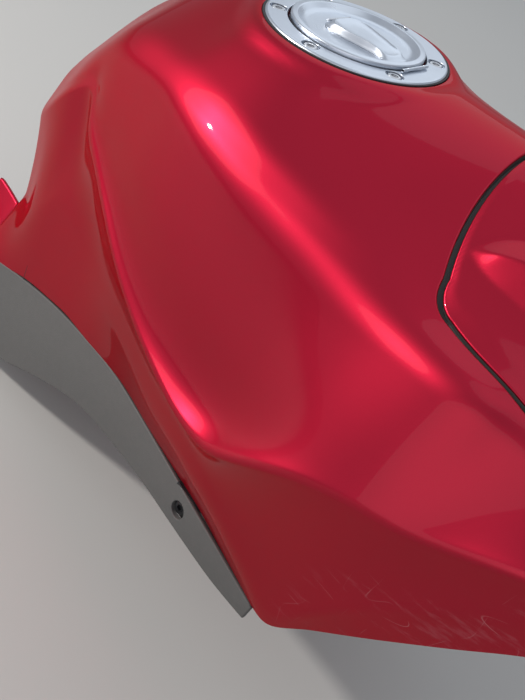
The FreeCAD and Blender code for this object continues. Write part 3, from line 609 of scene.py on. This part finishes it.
def rim_of(points, normals, numbers, centre, grow, axes=(0, 1)):
    """Points of a clipped edge in order round a centre, with their normals and the direction in the face that leads
    out of it, from the direction seen in the plane of the two axes."""
    a, b = (points[numbers, axis] - c for axis, c in zip(axes, centre))
    order = numbers[np.argsort(np.arctan2(b, a) % (2 * math.pi))]
    p, n = points[order], normals[order]
    way = np.zeros(p.shape)
    way[:, axes] = grow(*p[:, axes].T)
    return p, n, unit(way - n * (way * n).sum(1, keepdims=True))


def towards(centre):
    """The direction to a centre, as a function of two coordinates."""
    return lambda a, b: unit(np.asarray(centre)[:2] - np.stack([a, b], -1))


def tank_skin():
    """The shell: outer skin cut open at the seam and the filler, with rolled lips, the shelf under the cover, the
    filler's recess, the hem and the rooms underneath."""
    s, skin = sizes(), Skin()
    shelf_foot, shelf_edge, cap_reach, well_lip = 0.6, 0.3, 60, 8.0
    grid = outer_form(s.step, SHELL_COLUMNS)
    normal = smooth_normals(grid)
    points, normals, faces = grid.reshape(-1, 3), normal.reshape(-1, 3), grid_faces(*grid.shape[:2])
    sunk, low, under = COVER_SKIN + SHELF_GAP, points[:, 2] < SEAM_LOW, near_seam(points[:, 0], points[:, 1])
    p, n, f, cut = clip(points, normals, faces, np.where(low, FAR, -under - s.lip))
    rim = rim_of(p, n, cut, SEAM_MIDDLE, lambda x, y: inside_seam(x, y)[1])
    # The lip's wall at the seam takes the black second finish: painted shade of the gap
    skin.lip(*rim, s.lip, sunk + shelf_foot, around=False, wall_mark=1)
    local = to_cap(p)
    reach = np.where(np.abs(local[:, 2]) < cap_reach, np.hypot(local[:, 0], local[:, 1]), FAR)
    p, n, f, cut = clip(p, n, f, reach - s.seat_radius - s.lip)
    skin.add(p, n, f)
    middle = on_cap(UP * s.pad_height)
    filler_well(skin, skin.lip(*rim_of(p, n, cut, middle, towards(middle)), s.lip, well_lip, sink=on_cap(UP)))
    # The shelf under the cover takes the black finish: painted shade seen through the seam's gap, and a plain dark
    # face under the cover
    p, n, f, _ = clip(points - normals * sunk, normals, faces, np.where(low, -FAR, under + shelf_edge))
    skin.add(p, n, f, 1)
    depth = np.where(low, 0.0, sunk * ease(under / 2 + 1)).reshape(*grid.shape[:2], 1)
    rear, front = (grid - normal * depth)[[0, -1]]
    shares = np.linspace(1, 0, 5)[:, None, None]
    for ring, way in ((rear[rear[:, 2] > REAR_ROOF], -1.0), (front, 1.0)):
        skin.facing(ring * (np.array([1.0, 0, 1]) + np.array([0, 1.0, 0]) * shares), [way, 0, 0])
    for column, above in ((0, 12), (-1, -13)):
        underside(skin, grid[:, column], normal[:, column], grid[:, above])
    return skin


def filler_well(skin, foot):
    """The filler's recess from the foot of its lip: its wall, its floor, and the neck's bore with its bottom."""
    floor, bottom, bore = -9.5, -69.5, 30.2 / sizes().seat_radius
    flat = to_cap(foot)
    rings = [foot] + [on_cap(flat * [k, k, 0] + UP * z)
                      for k, z in ((1, floor), (bore, floor), (bore, bottom), (0, bottom))]
    inward, up = unit(on_cap(flat * [-1, -1, 0])), np.broadcast_to(on_cap(UP), flat.shape)
    for a, b, face in zip(rings, rings[1:], (inward, up, inward, up)):
        skin.add(np.stack([a, b]), np.stack([face, face]), grid_faces(2, len(a), True))


def underside(skin, edge, normal, above):
    """Hem along the lower edge, the skirt's inner face up to the roof and the roof to the middle. Behind the rear
    wall the roof is lower and the skirt is a sheet as thick as it is elsewhere."""
    hem, side, x = sizes().hem, np.sign(edge[0, 1]), edge[:, 0]
    down = unit(edge - above)
    down = unit(down - normal * (down * normal).sum(1, keepdims=True))
    foot = skin.lip(edge, normal, down, hem, hem, around=False)
    rear = x < REAR_WALL
    roof = np.maximum(np.where(rear, REAR_ROOF, TUNNEL_ROOF), edge[:, 2] + 0.5)
    height = foot[:, 2] + (roof - foot[:, 2]) * np.linspace(0, 1, 7)[:, None]
    lean = (above[:, 1] - edge[:, 1]) / (above[:, 2] - edge[:, 2])
    outer = np.abs(edge[:, 1] + lean * (height - edge[:, 2]))
    inner = np.minimum(np.where(rear, REAR_HALF, TUNNEL_HALF), outer - SKIRT) * side
    wall = np.stack([np.broadcast_to(x, inner.shape), inner, height], -1)
    skin.facing(np.stack([foot, wall[0]]), DOWN)
    skin.facing(wall, [0, -side, 0])
    skin.facing(np.stack([wall[-1], wall[-1] * [1, 0, 1]]), DOWN)


def ruled(x, side, top, foot, high, low, rows, swell=0.0):
    """Grid of straight lines at the places x, each from a half width and height at its top to those at its foot,
    swelled outward by half a wave of the sine. Returns the grid and its normals to the given side."""
    t = np.linspace(0, 1, rows)
    y = top * (1 - t) + foot * t + swell * np.sin(math.pi * t)
    grid = np.stack([np.broadcast_to(x[:, None], y.shape), y * side, high * (1 - t) + low * t], -1)
    return grid, normals_to(grid, 1, side)


def wing_plate(skin, side):
    """The wing that runs on under the seat: a plate ruled between its top and its foot."""
    x = np.linspace(WING[-1][0], WING[0][0], 13)
    skin.plate(*ruled(x, side, *(v[:, None] for v in faired(WING, x, 1.0).T), 9), SKIRT, 2.0)


def horn_height(x, y):
    """Raised horn on each side of the cover: a wedge of two slopes, from its foot up to the ridge and from there
    down to its inner side. The lesser of the two is taken, and nought where that is below nought."""
    foot, ridge, inner, high = np.moveaxis(faired(HORN, x, 1.0), -1, 0)
    least, ridge_soft, foot_soft = 0.5, 1.0, 0.5
    outer_slope = high * (foot - np.abs(y)) / np.maximum(foot - ridge, least)
    inner_slope = high * (np.abs(y) - inner) / np.maximum(ridge - inner, least)
    return -lesser(0, -lesser(outer_slope, inner_slope, ridge_soft), foot_soft) * ease(high)


def bevel_height(x, inside):
    """The cover stands proud of the tank over a bevel along its seam, which is low and narrow at the rear. Far
    inside the seam it comes back to the common crown."""
    start, run, fade_start, fade_run, soft = 178, 30, 40, 45, 0.15
    forward = ease((x - start) / run)
    width, height = 2.5 + 6.5 * forward, 1.2 + 1.3 * forward
    share = np.clip(inside / width, -0.3, 5)
    return height * lesser(share, 1, soft) * (1 - ease((inside - fade_start) / fade_run))


def cover_skin():
    """The front cover: the outer skin inside the seam, less the gap, with its horns, a rolled lip and an underside.
    The field that bounds it is the lesser of the distances from the seam and from the front end."""
    s, skin = sizes(), Skin()
    grid = outer_form(s.cover_step, COVER_COLUMNS)
    x, y = grid[..., 0], grid[..., 1]
    over = (x > SEAM_START) & (grid[..., 2] > SEAM_LOW)
    margin, ahead, soft = s.seam_gap + s.lip, FRONT_END - 2, 60 ** 0.5
    inside = inside_seam(x[over], y[over])[0] - margin
    grid[over, 2] += horn_height(x[over], y[over]) + bevel_height(x[over], inside)

    def field(x, y):
        return lesser(near_seam(x, y) - margin, ahead - x, soft)

    def leading_out(x, y):
        """Against the slope of the field, from its differences over a short step both ways."""
        h = 0.4
        return unit(-np.stack([field(x + h, y) - field(x - h, y), field(x, y + h) - field(x, y - h)], -1))

    points, normals = grid.reshape(-1, 3), smooth_normals(grid).reshape(-1, 3)
    inside = np.where(points[:, 2] < SEAM_LOW, -FAR, field(points[:, 0], points[:, 1]))
    p, n, f, cut = clip(points, normals, grid_faces(*grid.shape[:2]), inside)
    skin.add(p, n, f)
    rim, rim_n, out = rim_of(p, n, cut, SEAM_MIDDLE, leading_out)
    # The cover's wall in the seam is black as painted shade of the gap; its underside is plain black
    skin.lip(rim, rim_n, out, s.lip, COVER_SKIN, wall_mark=1)
    skin.add(p - n * COVER_SKIN, -n, f, 1)
    skin.lip(rim - rim_n * COVER_SKIN, -rim_n, out, 0.001, 0.0, steps=1, mark=1)
    return skin


# Filler cap, measured on the ring: radius outward, height from the ring's top face

def place_on_cap(points):
    return in_frame(on_cap(points))


def rod_across(skin, start, stop):
    """Round bar of the hinge from side to side, with rounded ends."""
    part, r, rounding = Skin(), HINGE_RADIUS, 0.35
    part.turned([(0, stop), (r, stop, rounding), (r, start, rounding), (0, start)], 24)
    for p, n, f in zip(part.points, part.normals, part.faces):
        skin.add(p[:, [1, 2, 0]] + [HINGE_ALONG, 0, HINGE_HEIGHT], n[:, [1, 2, 0]], f - f.min())


def bolt_places():
    """The screws stand evenly round their circle, from the first one's angle."""
    angle = FIRST_BOLT + ring_angles(BOLTS)
    return BOLT_CIRCLE * np.stack([np.cos(angle), np.sin(angle)], -1)


def ring_skin():
    """The filler's ring: a flat annulus with a rounded rim, six counterbores and the two eyes of the hinge."""
    skin = Skin()
    bore, rim, thick, inner, outer, well, bevel, sink = 49.6, 65.2, 7.5, 0.7, 2.0, 6.2, 0.45, 3.0
    rows, columns, eye, eye_width = 22, 300, 9.4, 5.0
    radius = np.linspace(bore + inner, rim - outer, rows)[:, None]
    flat = circles(radius, 0, columns).reshape(-1, 3)
    holes = bolt_places()
    field = np.linalg.norm(flat[:, None, :2] - holes, axis=-1).min(1) - well - bevel
    p, n, f, cut = clip(flat, np.broadcast_to(UP, flat.shape), grid_faces(rows, columns, True), field)
    skin.add(p, n, f)
    for hole in holes:
        near = cut[np.linalg.norm(p[cut, :2] - hole, axis=1) < well + bevel + 1]
        skin.fan(skin.lip(*rim_of(p, n, near, hole, towards(hole)), bevel, sink), [*hole, -sink], UP)
    skin.turned([(rim - outer, 0), (rim, 0, outer), (rim, -thick), (bore, -thick), (bore, 0, inner),
                 (bore + inner, 0)], columns)
    for start in (-eye - eye_width, eye):
        rod_across(skin, start, start + eye_width)
    return skin


def socket_screw(skin, screw, centre=(0, 0)):
    """A screw turned from its profile, whose flat top has a six-sided recess: the recess's wall stands at the half
    width over the cosine of the angle from the nearest of its six sides."""
    profile, across, socket = screw
    (edge, top), (x, y), count = profile[0], centre, 48
    wall = across / np.cos((ring_angles(count) + math.pi / 6) % (math.pi / 3) - math.pi / 6)
    share = np.linspace(0, 1, 5)[:, None]
    ring = circles(wall * (1 - share) + edge * share, top, count, centre)
    deep = ring[0] - UP * socket
    skin.facing(ring, UP, True)
    skin.fan(deep, [x, y, top - socket], UP)
    for k, turn in enumerate(ring_angles(6)):
        pick = (np.arange(9) + 8 * k - 4) % count
        skin.facing(np.stack([ring[0, pick], deep[pick]]), [-math.cos(turn), -math.sin(turn), 0])
    skin.turned(profile, count, centre)
    return skin


def screws_skin():
    """Six socket screws that stand in the ring's counterbores."""
    skin = Skin()
    for place in bolt_places():
        socket_screw(skin, RING_SCREW, place)
    return skin


def lid_skin():
    """The lid: a flat dish inside a broad rounded rim, with the eye of its hinge at the front."""
    skin = Skin()
    skin.turned(LID, 240)
    rod_across(skin, -LID_EYE, LID_EYE)
    return skin


def key_cover_skin():
    """The grip over the lock. Its outline is a blunt oval, wide at the rear: half widths follow a power of the sine,
    tapered forward. Rings scaled from that outline rise over a bevelled flank to a raised ridge and a hollow top."""
    skin = Skin()
    count, centre, reach, blunt = 144, 8.5, 30.5, 2 / 3.4
    rear_half, taper, flare = 19.5, 7.5, 2.0
    peak, hollow, ridge, foot, base, edge, wall = 4.2, 1.5, 0.8, -0.1, -0.7, 0.4, 1.0
    c, s = np.cos(ring_angles(count)), np.sin(ring_angles(count))
    x = centre + reach * np.sign(c) * np.abs(c) ** blunt
    half = rear_half - taper * ease((x + 18) / 44) + flare * ease((x - 24) / 14)
    outline = np.stack([x, half * np.sign(s) * np.abs(s) ** blunt], -1)
    share = np.concatenate([np.linspace(0.02, 0.6, 8), np.linspace(0.63, 0.86, 14), np.linspace(0.88, 0.985, 6)])
    height = np.where(share < ridge, peak - hollow * (1 - np.clip(share / ridge, 0, 1) ** 7),
                      peak - (peak - foot) * ease((share - ridge) / (1 - ridge)))
    ring = [centre, 0] + share[:, None, None] * (outline - [centre, 0])
    fade = 1 - 0.55 * ease((ring[..., 0] - 14) / 25)
    grid = np.concatenate([ring, (-edge + (height[:, None] + edge) * fade)[..., None]], -1)
    normal = smooth_normals(grid, True)
    normal = normal * np.sign(normal[5, 0, 2])
    skin.add(grid, normal, grid_faces(*grid.shape[:2], True))
    skin.fan(grid[0], [centre, 0, grid[0, :, 2].mean()], UP)
    along = unit(np.roll(outline, -1, 0) - np.roll(outline, 1, 0))
    out = np.stack([along[:, 1], -along[:, 0], np.zeros(count)], -1)
    rim = skin.lip(grid[-1], normal[-1], out, edge, edge, sink=UP)
    rim = np.stack([rim, rim * [1, 1, 0] + UP * base])
    skin.add(rim, np.stack([out, out]), grid_faces(2, count, True))
    under = np.stack([rim[1], (rim[1] - [centre, 0, 0]) * [0.93, 0.93, 1] + [centre, 0, 0]])
    skin.facing(under, DOWN, True)
    inner = grid - normal * wall
    inner[..., 2] = np.maximum(inner[..., 2], base)
    inner = np.concatenate([inner, under[1:]])
    skin.add(inner, np.concatenate([-normal, np.broadcast_to(DOWN, (1, count, 3))]),
             grid_faces(*inner.shape[:2], True))
    skin.fan(inner[0], [centre, 0, inner[0, :, 2].mean()], DOWN)
    return skin


# Side trims

def trim_skin(side):
    """One side trim: a curved plate under the tank's edge with rounded edges, a flange along its top that closes the
    gap, and a sunk hole for its screw. Its face is ruled between its top line and its foot and swells slightly."""
    skin = Skin()
    thick, gap, well, bevel, edge, swell, deep = 4.0, 2.2, 6.9, 0.7, 1.3, 2.2, 60
    flange_wide, flange_thick, flange_edge, flange_drop = 12.0, 2.0, 0.9, 0.6
    x = np.linspace(TRIM[0][0], TRIM[-1][0], 148)
    top, foot, drop = (v[:, None] for v in faired(TRIM, x, 12.0).T)
    high = faired(LOWER_EDGE, x, 14.0) - gap
    grid, normal = ruled(x, side, top, foot, high, high - drop, 34, swell * np.minimum(1, drop / deep))
    faces, hole = grid_faces(*grid.shape[:2]), (TRIM_SCREW_ALONG, TRIM_SCREW_HEIGHT)
    flat, up = grid.reshape(-1, 3), normal.reshape(-1, 3)
    field = np.hypot(flat[:, 0] - hole[0], flat[:, 2] - hole[1]) - well - bevel
    p, n, f, cut = clip(flat, up, faces, field)
    skin.add(p, n, f)
    skin.lip(*rim_of(p, n, cut, hole, towards(hole), (0, 2)), bevel, thick)
    skin.add(*clip(flat - up * thick, -up, faces, field + bevel)[:3])
    skin.edge(grid, normal, thick, edge)
    keep = (x > -206) & (x < 215)
    lead = grid[keep, 0] - normal[keep, 0] * flange_thick - UP * flange_drop
    flange = np.stack([lead - [0, flange_wide * side * s, 0] for s in np.linspace(0, 1, 5)], 1)
    skin.plate(flange, normals_to(flange, 2, 1), flange_thick, flange_edge)
    return skin


def trim_screw_place(side):
    """Turns a screw's upright axis to the side and moves it to its hole."""
    def place(points):
        p = np.asarray(points, float)
        return in_frame(np.stack([p[..., 0] + TRIM_SCREW_ALONG, (p[..., 2] + TRIM_SCREW_OUT) * side,
                                  TRIM_SCREW_HEIGHT - p[..., 1] * side], -1))
    return place


# Finishes

class Wire:
    """A socket with arithmetic: an expression on sockets adds its Math nodes, with a plain number on either side."""

    def __init__(self, finish, socket):
        self.finish, self.socket = finish, socket

    def _with(self, operation, *values):
        return self.finish.node("ShaderNodeMath", {"operation": operation}, dict(enumerate(values)))

    def __add__(self, other):
        return self._with("ADD", self, other)

    def __radd__(self, other):
        return self._with("ADD", other, self)

    def __sub__(self, other):
        return self._with("SUBTRACT", self, other)

    def __rsub__(self, other):
        return self._with("SUBTRACT", other, self)

    def __mul__(self, other):
        return self._with("MULTIPLY", self, other)

    def __rmul__(self, other):
        return self._with("MULTIPLY", other, self)

    def limited(self):
        return self.finish.node("ShaderNodeClamp", {}, {0: self})

    def size(self):
        return self._with("ABSOLUTE", self)


class Finish:
    """A material made of nodes."""

    def __init__(self, name):
        self.material = bpy.data.materials.new(name)
        self.material.use_nodes = True
        self.tree = self.material.node_tree
        self.tree.nodes.clear()

    def node(self, kind, settings, sockets, output=0):
        """Adds one node: its settings first, then a value or a link for each socket. Returns one output."""
        made = self.tree.nodes.new(kind)
        for key, value in settings.items():
            setattr(made, key, value)
        for key, value in sockets.items():
            if isinstance(value, Wire):
                self.tree.links.new(value.socket, made.inputs[key])
            else:
                made.inputs[key].default_value = value
        return Wire(self, made.outputs[output]) if len(made.outputs) else None

    def coordinates(self):
        return self.node("ShaderNodeTexCoord", {}, {}, "Object")

    def noise(self, scale, detail=2.0, roughness=0.5, stretch=None):
        """Noise over the piece's own coordinates, which may be stretched first."""
        place = self.coordinates()
        if stretch:
            place = self.node("ShaderNodeMapping", {}, {"Vector": place, "Scale": stretch})
        return self.node("ShaderNodeTexNoise", {}, {"Vector": place, "Scale": scale, "Detail": detail,
                                                    "Roughness": roughness})

    def thin_lines(self, scale, width, stretch):
        """Lines where a slow noise passes its middle, longest where the stretch is least."""
        return (1 - (self.noise(scale, 0.0, stretch=stretch) - 0.5).size() * (1 / width)).limited()

    def mix(self, share, a, b):
        """Two colours blended by a share."""
        a, b = (v if isinstance(v, Wire) else (*v, 1) for v in (a, b))
        return self.node("ShaderNodeMix", {"data_type": "RGBA"}, {0: share, 6: a, 7: b}, 2)

    def bump(self, height, strength, distance):
        return self.node("ShaderNodeBump", {}, {"Height": height, "Strength": strength, "Distance": distance})

    def done(self, **sockets):
        """Ends the material in a Principled shader with the given sockets."""
        named = {key.replace("_", " "): ((*value, 1) if isinstance(value, tuple) else value)
                 for key, value in sockets.items()}
        shader = self.node("ShaderNodeBsdfPrincipled", {}, named)
        self.node("ShaderNodeOutputMaterial", {}, {"Surface": shader})
        return self.material


def shade(colour, factor):
    return tuple(min(1.0, v * factor) for v in colour)


def candy_paint(name):
    """Deep red metallic lacquer under a clear coat, with fine flake and faint orange peel. Fine scratches, the
    contours of a slow noise broken up by another, and dull scuffs lie on the right side low at the front."""
    paint = tuple(colours().paint)
    f = Finish(name)
    cloud, flake = f.noise(CLOUD), f.noise(FLAKE, 1.0)
    base = f.mix((cloud * 0.5 + flake * 0.5).limited(), shade(paint, 0.84), shade(paint, 1.14))
    along, across, height = (f.node("ShaderNodeSeparateXYZ", {}, {0: f.coordinates()}, k) for k in range(3))
    low = ((WORN_HEIGHT - height + along * WORN_RISE) * 45.0).limited() * ((along - WORN_START) * 30.0).limited()
    worn = low * (across * -60.0 - 3.0).limited()
    scratch = f.thin_lines(12.0, 0.006, (1, 1, 3.2)) * ((f.noise(34.0) - 0.51) * 14.0).limited()
    fine = f.thin_lines(19.0, 0.009, (3, 1, 1)) * ((f.noise(25.0) - 0.54) * 14.0).limited()
    scuff = ((f.noise(55.0, 4.0, 0.7, stretch=(0.5, 1, 2.2)) - 0.56) * 9.0).limited() * 0.3
    mark = worn * (scratch + fine * 0.8 + scuff).limited()
    base = f.mix(mark * 0.55, base, tuple(0.6 * v + 0.22 for v in paint))
    peel = f.bump(f.noise(PEEL, 1.0), 0.012, 0.001)
    return f.done(Base_Color=base, Metallic=1 - mark * 0.5, Roughness=0.42 + mark * 0.2,
                  Specular_Tint=(1.0, 0.3, 0.3), Coat_Weight=0.34 - mark * 0.15, Coat_Roughness=0.045, Normal=peel)


def plain_finish(name, colour, metallic, roughness, grain, bump):
    """One colour with a slight cloud in its tone and roughness, and a fine grain in its height."""
    f = Finish(name)
    cloud = f.noise(grain, 3.0)
    base = f.mix(cloud, shade(colour, 0.92), shade(colour, 1.08))
    rough = (f.noise(grain * 2.3, 2.0) * 0.12 + (roughness - 0.06)).limited()
    sockets = {"Base_Color": base, "Metallic": metallic, "Roughness": rough}
    if bump:
        sockets["Normal"] = f.bump(f.noise(grain * 8, 3.0), bump, 0.0005)
    return f.done(**sockets)


@functools.cache
def finish(name):
    """Makes each finish once."""
    if name == "red_paint":
        return candy_paint(name)
    colour, *rest = PLAIN[name]
    return plain_finish(name, tuple(getattr(colours(), colour)) if isinstance(colour, str) else colour, *rest)


class TankSizes(bpy.types.PropertyGroup):
    step: FloatProperty(name="Step", description="Spacing of the shell's sections", default=0.003, unit="LENGTH")
    cover_step: FloatProperty(name="Cover step", description="Spacing of the cover's sections", default=0.002,
                              unit="LENGTH")
    lip: FloatProperty(name="Lip", description="Rolled edge at the seam and the filler", default=0.0013,
                       unit="LENGTH")
    hem: FloatProperty(name="Hem", description="Rolled edge along the foot of the tank", default=0.0016,
                       unit="LENGTH")
    seam_gap: FloatProperty(name="Seam gap", description="Width of the seam", default=0.0025, unit="LENGTH")
    seat_radius: FloatProperty(name="Seat radius", description="Recess of the filler", default=0.0665,
                               unit="LENGTH")
    pad_height: FloatProperty(name="Pad height", description="Skin round the filler from the ring's top face",
                              default=-0.0018, unit="LENGTH")
    pad_width: FloatProperty(name="Pad width", description="Width of the skin drawn to the filler",
                             default=0.016, unit="LENGTH")


class TankColours(bpy.types.PropertyGroup):
    paint: FloatVectorProperty(name="Paint", description="Red lacquer", subtype="COLOR",
                               default=(0.45, 0.01, 0.034))
    alloy: FloatVectorProperty(name="Alloy", description="Filler ring and lid", subtype="COLOR",
                               default=(0.66, 0.7, 0.76))
    # The trims' colour, also used as painted shade in the cover's seam
    trim: FloatVectorProperty(name="Trim", description="Textured trims", subtype="COLOR",
                              default=(0.082, 0.08, 0.077))
    floor: FloatVectorProperty(name="Floor", description="Floor and backdrop", subtype="COLOR",
                               default=(0.5, 0.49, 0.465))


class TANK_OT_shell(bpy.types.Operator):
    """Builds the painted shell of the tank"""
    bl_idname = "tank.shell"
    bl_label = "Tank shell"

    def execute(self, context):
        skin = tank_skin()
        wing_plate(skin, 1)
        wing_plate(skin, -1)
        shell = skin.piece("shell_skin", [finish("red_paint"), finish("black_plastic")])
        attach(shell, "tank")
        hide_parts("tank_shell")
        return {"FINISHED"}


class TANK_OT_cover(bpy.types.Operator):
    """Builds the front cover with its horns"""
    bl_idname = "tank.cover"
    bl_label = "Front cover"

    def execute(self, context):
        cover = cover_skin().piece("cover_skin", [finish("red_paint"), finish("black_plastic")])
        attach(cover, "tank")
        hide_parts("front_cover")
        return {"FINISHED"}


class TANK_OT_filler(bpy.types.Operator):
    """Builds the filler's ring and screws, the lid and the key cover"""
    bl_idname = "tank.filler"
    bl_label = "Filler cap"

    def execute(self, context):
        for name, skin, kind, body, node in (
                ("filler_ring", ring_skin(), "cap_alloy", "tank", "cap_ring"),
                ("filler_screws", screws_skin(), "steel", "tank", "ring_bolts"),
                ("lid_dish", lid_skin(), "cap_alloy", "lid", "cap_lid"),
                ("lock_grip", key_cover_skin(), "cap_alloy", "key_flap", "key_cover")):
            piece = skin.piece(name, [finish(kind)], place_on_cap)
            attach(piece, body)
            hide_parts(node)
        return {"FINISHED"}


class TANK_OT_trims(bpy.types.Operator):
    """Builds the side trims and their screws"""
    bl_idname = "tank.trims"
    bl_label = "Side trims"

    def execute(self, context):
        for word, side in (("right", -1), ("left", 1)):
            panel = trim_skin(side).piece("trim_panel_" + word, [finish("black_plastic")])
            screw = socket_screw(Skin(), TRIM_SCREW).piece("trim_head_" + word, [finish("black_metal")],
                                                           trim_screw_place(side))
            for piece, node, kind in ((panel, "side_trim_", "black_plastic"),
                                      (screw, "trim_screw_", "black_metal")):
                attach(piece, "tank")
                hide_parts(node + word)
        return {"FINISHED"}


class TANK_OT_fittings(bpy.types.Operator):
    """Gives the fittings that keep their own meshes their finishes"""
    bl_idname = "tank.fittings"
    bl_label = "Fittings"

    def execute(self, context):
        for kind, names in FITTINGS.items():
            for name in names:
                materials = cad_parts[name].data.materials
                materials.clear()
                materials.append(finish(kind))
        return {"FINISHED"}


class TANK_OT_stage(bpy.types.Operator):
    """Builds the floor, the light and the camera"""
    bl_idname = "tank.stage"
    bl_label = "Stage"

    def execute(self, context):
        scene = context.scene
        scene.view_settings.view_transform = "Standard"
        self.camera(scene)
        self.floor(scene)
        self.light(scene)
        return {"FINISHED"}

    def stand(self, scene, name, data, across, up, back, place):
        """Puts a camera or lamp at its place, with its own axes along three directions."""
        made = bpy.data.objects.new(name, data)
        made.matrix_world = Matrix([[across[k], up[k], back[k], place[k]] for k in range(3)] + [[0, 0, 0, 1]])
        scene.collection.objects.link(made)
        return made

    def camera(self, scene):
        """The camera stands at the right rear above the tank and looks down across it."""
        data = bpy.data.cameras.new("camera")
        data.sensor_fit, data.sensor_width, data.lens = "AUTO", SENSOR, LENS
        scene.camera = self.stand(scene, "camera", data, RIGHT, -DOWNWARD, -AHEAD, in_frame(CAMERA_PLACE))

    def floor(self, scene):
        """A plain square just under the tank."""
        f = Finish("floor")
        c = tuple(colours().floor)
        material = f.done(Base_Color=f.mix(f.noise(3.0, 3.0), shade(c, 0.97), c), Roughness=0.9)
        mesh = bpy.data.meshes.new("floor")
        low, h = CAD_BOX[0].z - FLOOR_GAP, FLOOR_HALF
        mesh.from_pydata([(-h, -h, low), (h, -h, low), (h, h, low), (-h, h, low)], [], [(0, 1, 2, 3)])
        mesh.materials.append(material)
        floor = bpy.data.objects.new("floor", mesh)
        scene.collection.objects.link(floor)

    def light(self, scene):
        """An even sky and round lamps, each turned from its place to its aim."""
        world = bpy.data.worlds.new("studio")
        world.use_nodes = True
        for socket, value in zip(world.node_tree.nodes["Background"].inputs, (SKY_COLOUR, SKY_STRENGTH)):
            socket.default_value = value
        scene.world = world
        for name, place, aim, size, power, colour in LAMPS:
            data = bpy.data.lights.new(name, "AREA")
            data.shape, data.size, data.energy, data.color = "DISK", size, power, colour
            back = unit(np.array(place) - aim)
            side = unit(np.cross(UP, back))
            self.stand(scene, name, data, side, np.cross(back, side), back, place)


class TANK_PT_panel(bpy.types.Panel):
    """Lists the pieces of the tank and its sizes and colours"""
    bl_idname = "TANK_PT_panel"
    bl_label = "Fuel tank"
    bl_space_type = "VIEW_3D"
    bl_region_type = "UI"
    bl_category = "Tank"

    def draw(self, context):
        for operator in OPERATORS:
            self.layout.operator(operator.bl_idname)
        for group in (context.scene.tank_sizes, context.scene.tank_colours):
            for key in group.__annotations__:
                self.layout.prop(group, key)


OPERATORS = (TANK_OT_fittings, TANK_OT_shell, TANK_OT_cover, TANK_OT_filler, TANK_OT_trims, TANK_OT_stage)
CLASSES = (TankSizes, TankColours) + OPERATORS + (TANK_PT_panel,)


def register():
    for kind in CLASSES:
        bpy.utils.register_class(kind)
    bpy.types.Scene.tank_sizes = PointerProperty(type=TankSizes)
    bpy.types.Scene.tank_colours = PointerProperty(type=TankColours)


def unregister():
    del bpy.types.Scene.tank_sizes
    del bpy.types.Scene.tank_colours
    for kind in reversed(CLASSES):
        bpy.utils.unregister_class(kind)


def main():
    """Builds the pieces in order."""
    register()
    bpy.ops.tank.fittings()
    bpy.ops.tank.shell()
    bpy.ops.tank.cover()
    bpy.ops.tank.filler()
    bpy.ops.tank.trims()
    bpy.ops.tank.stage()


if __name__ == "__main__":
    main()
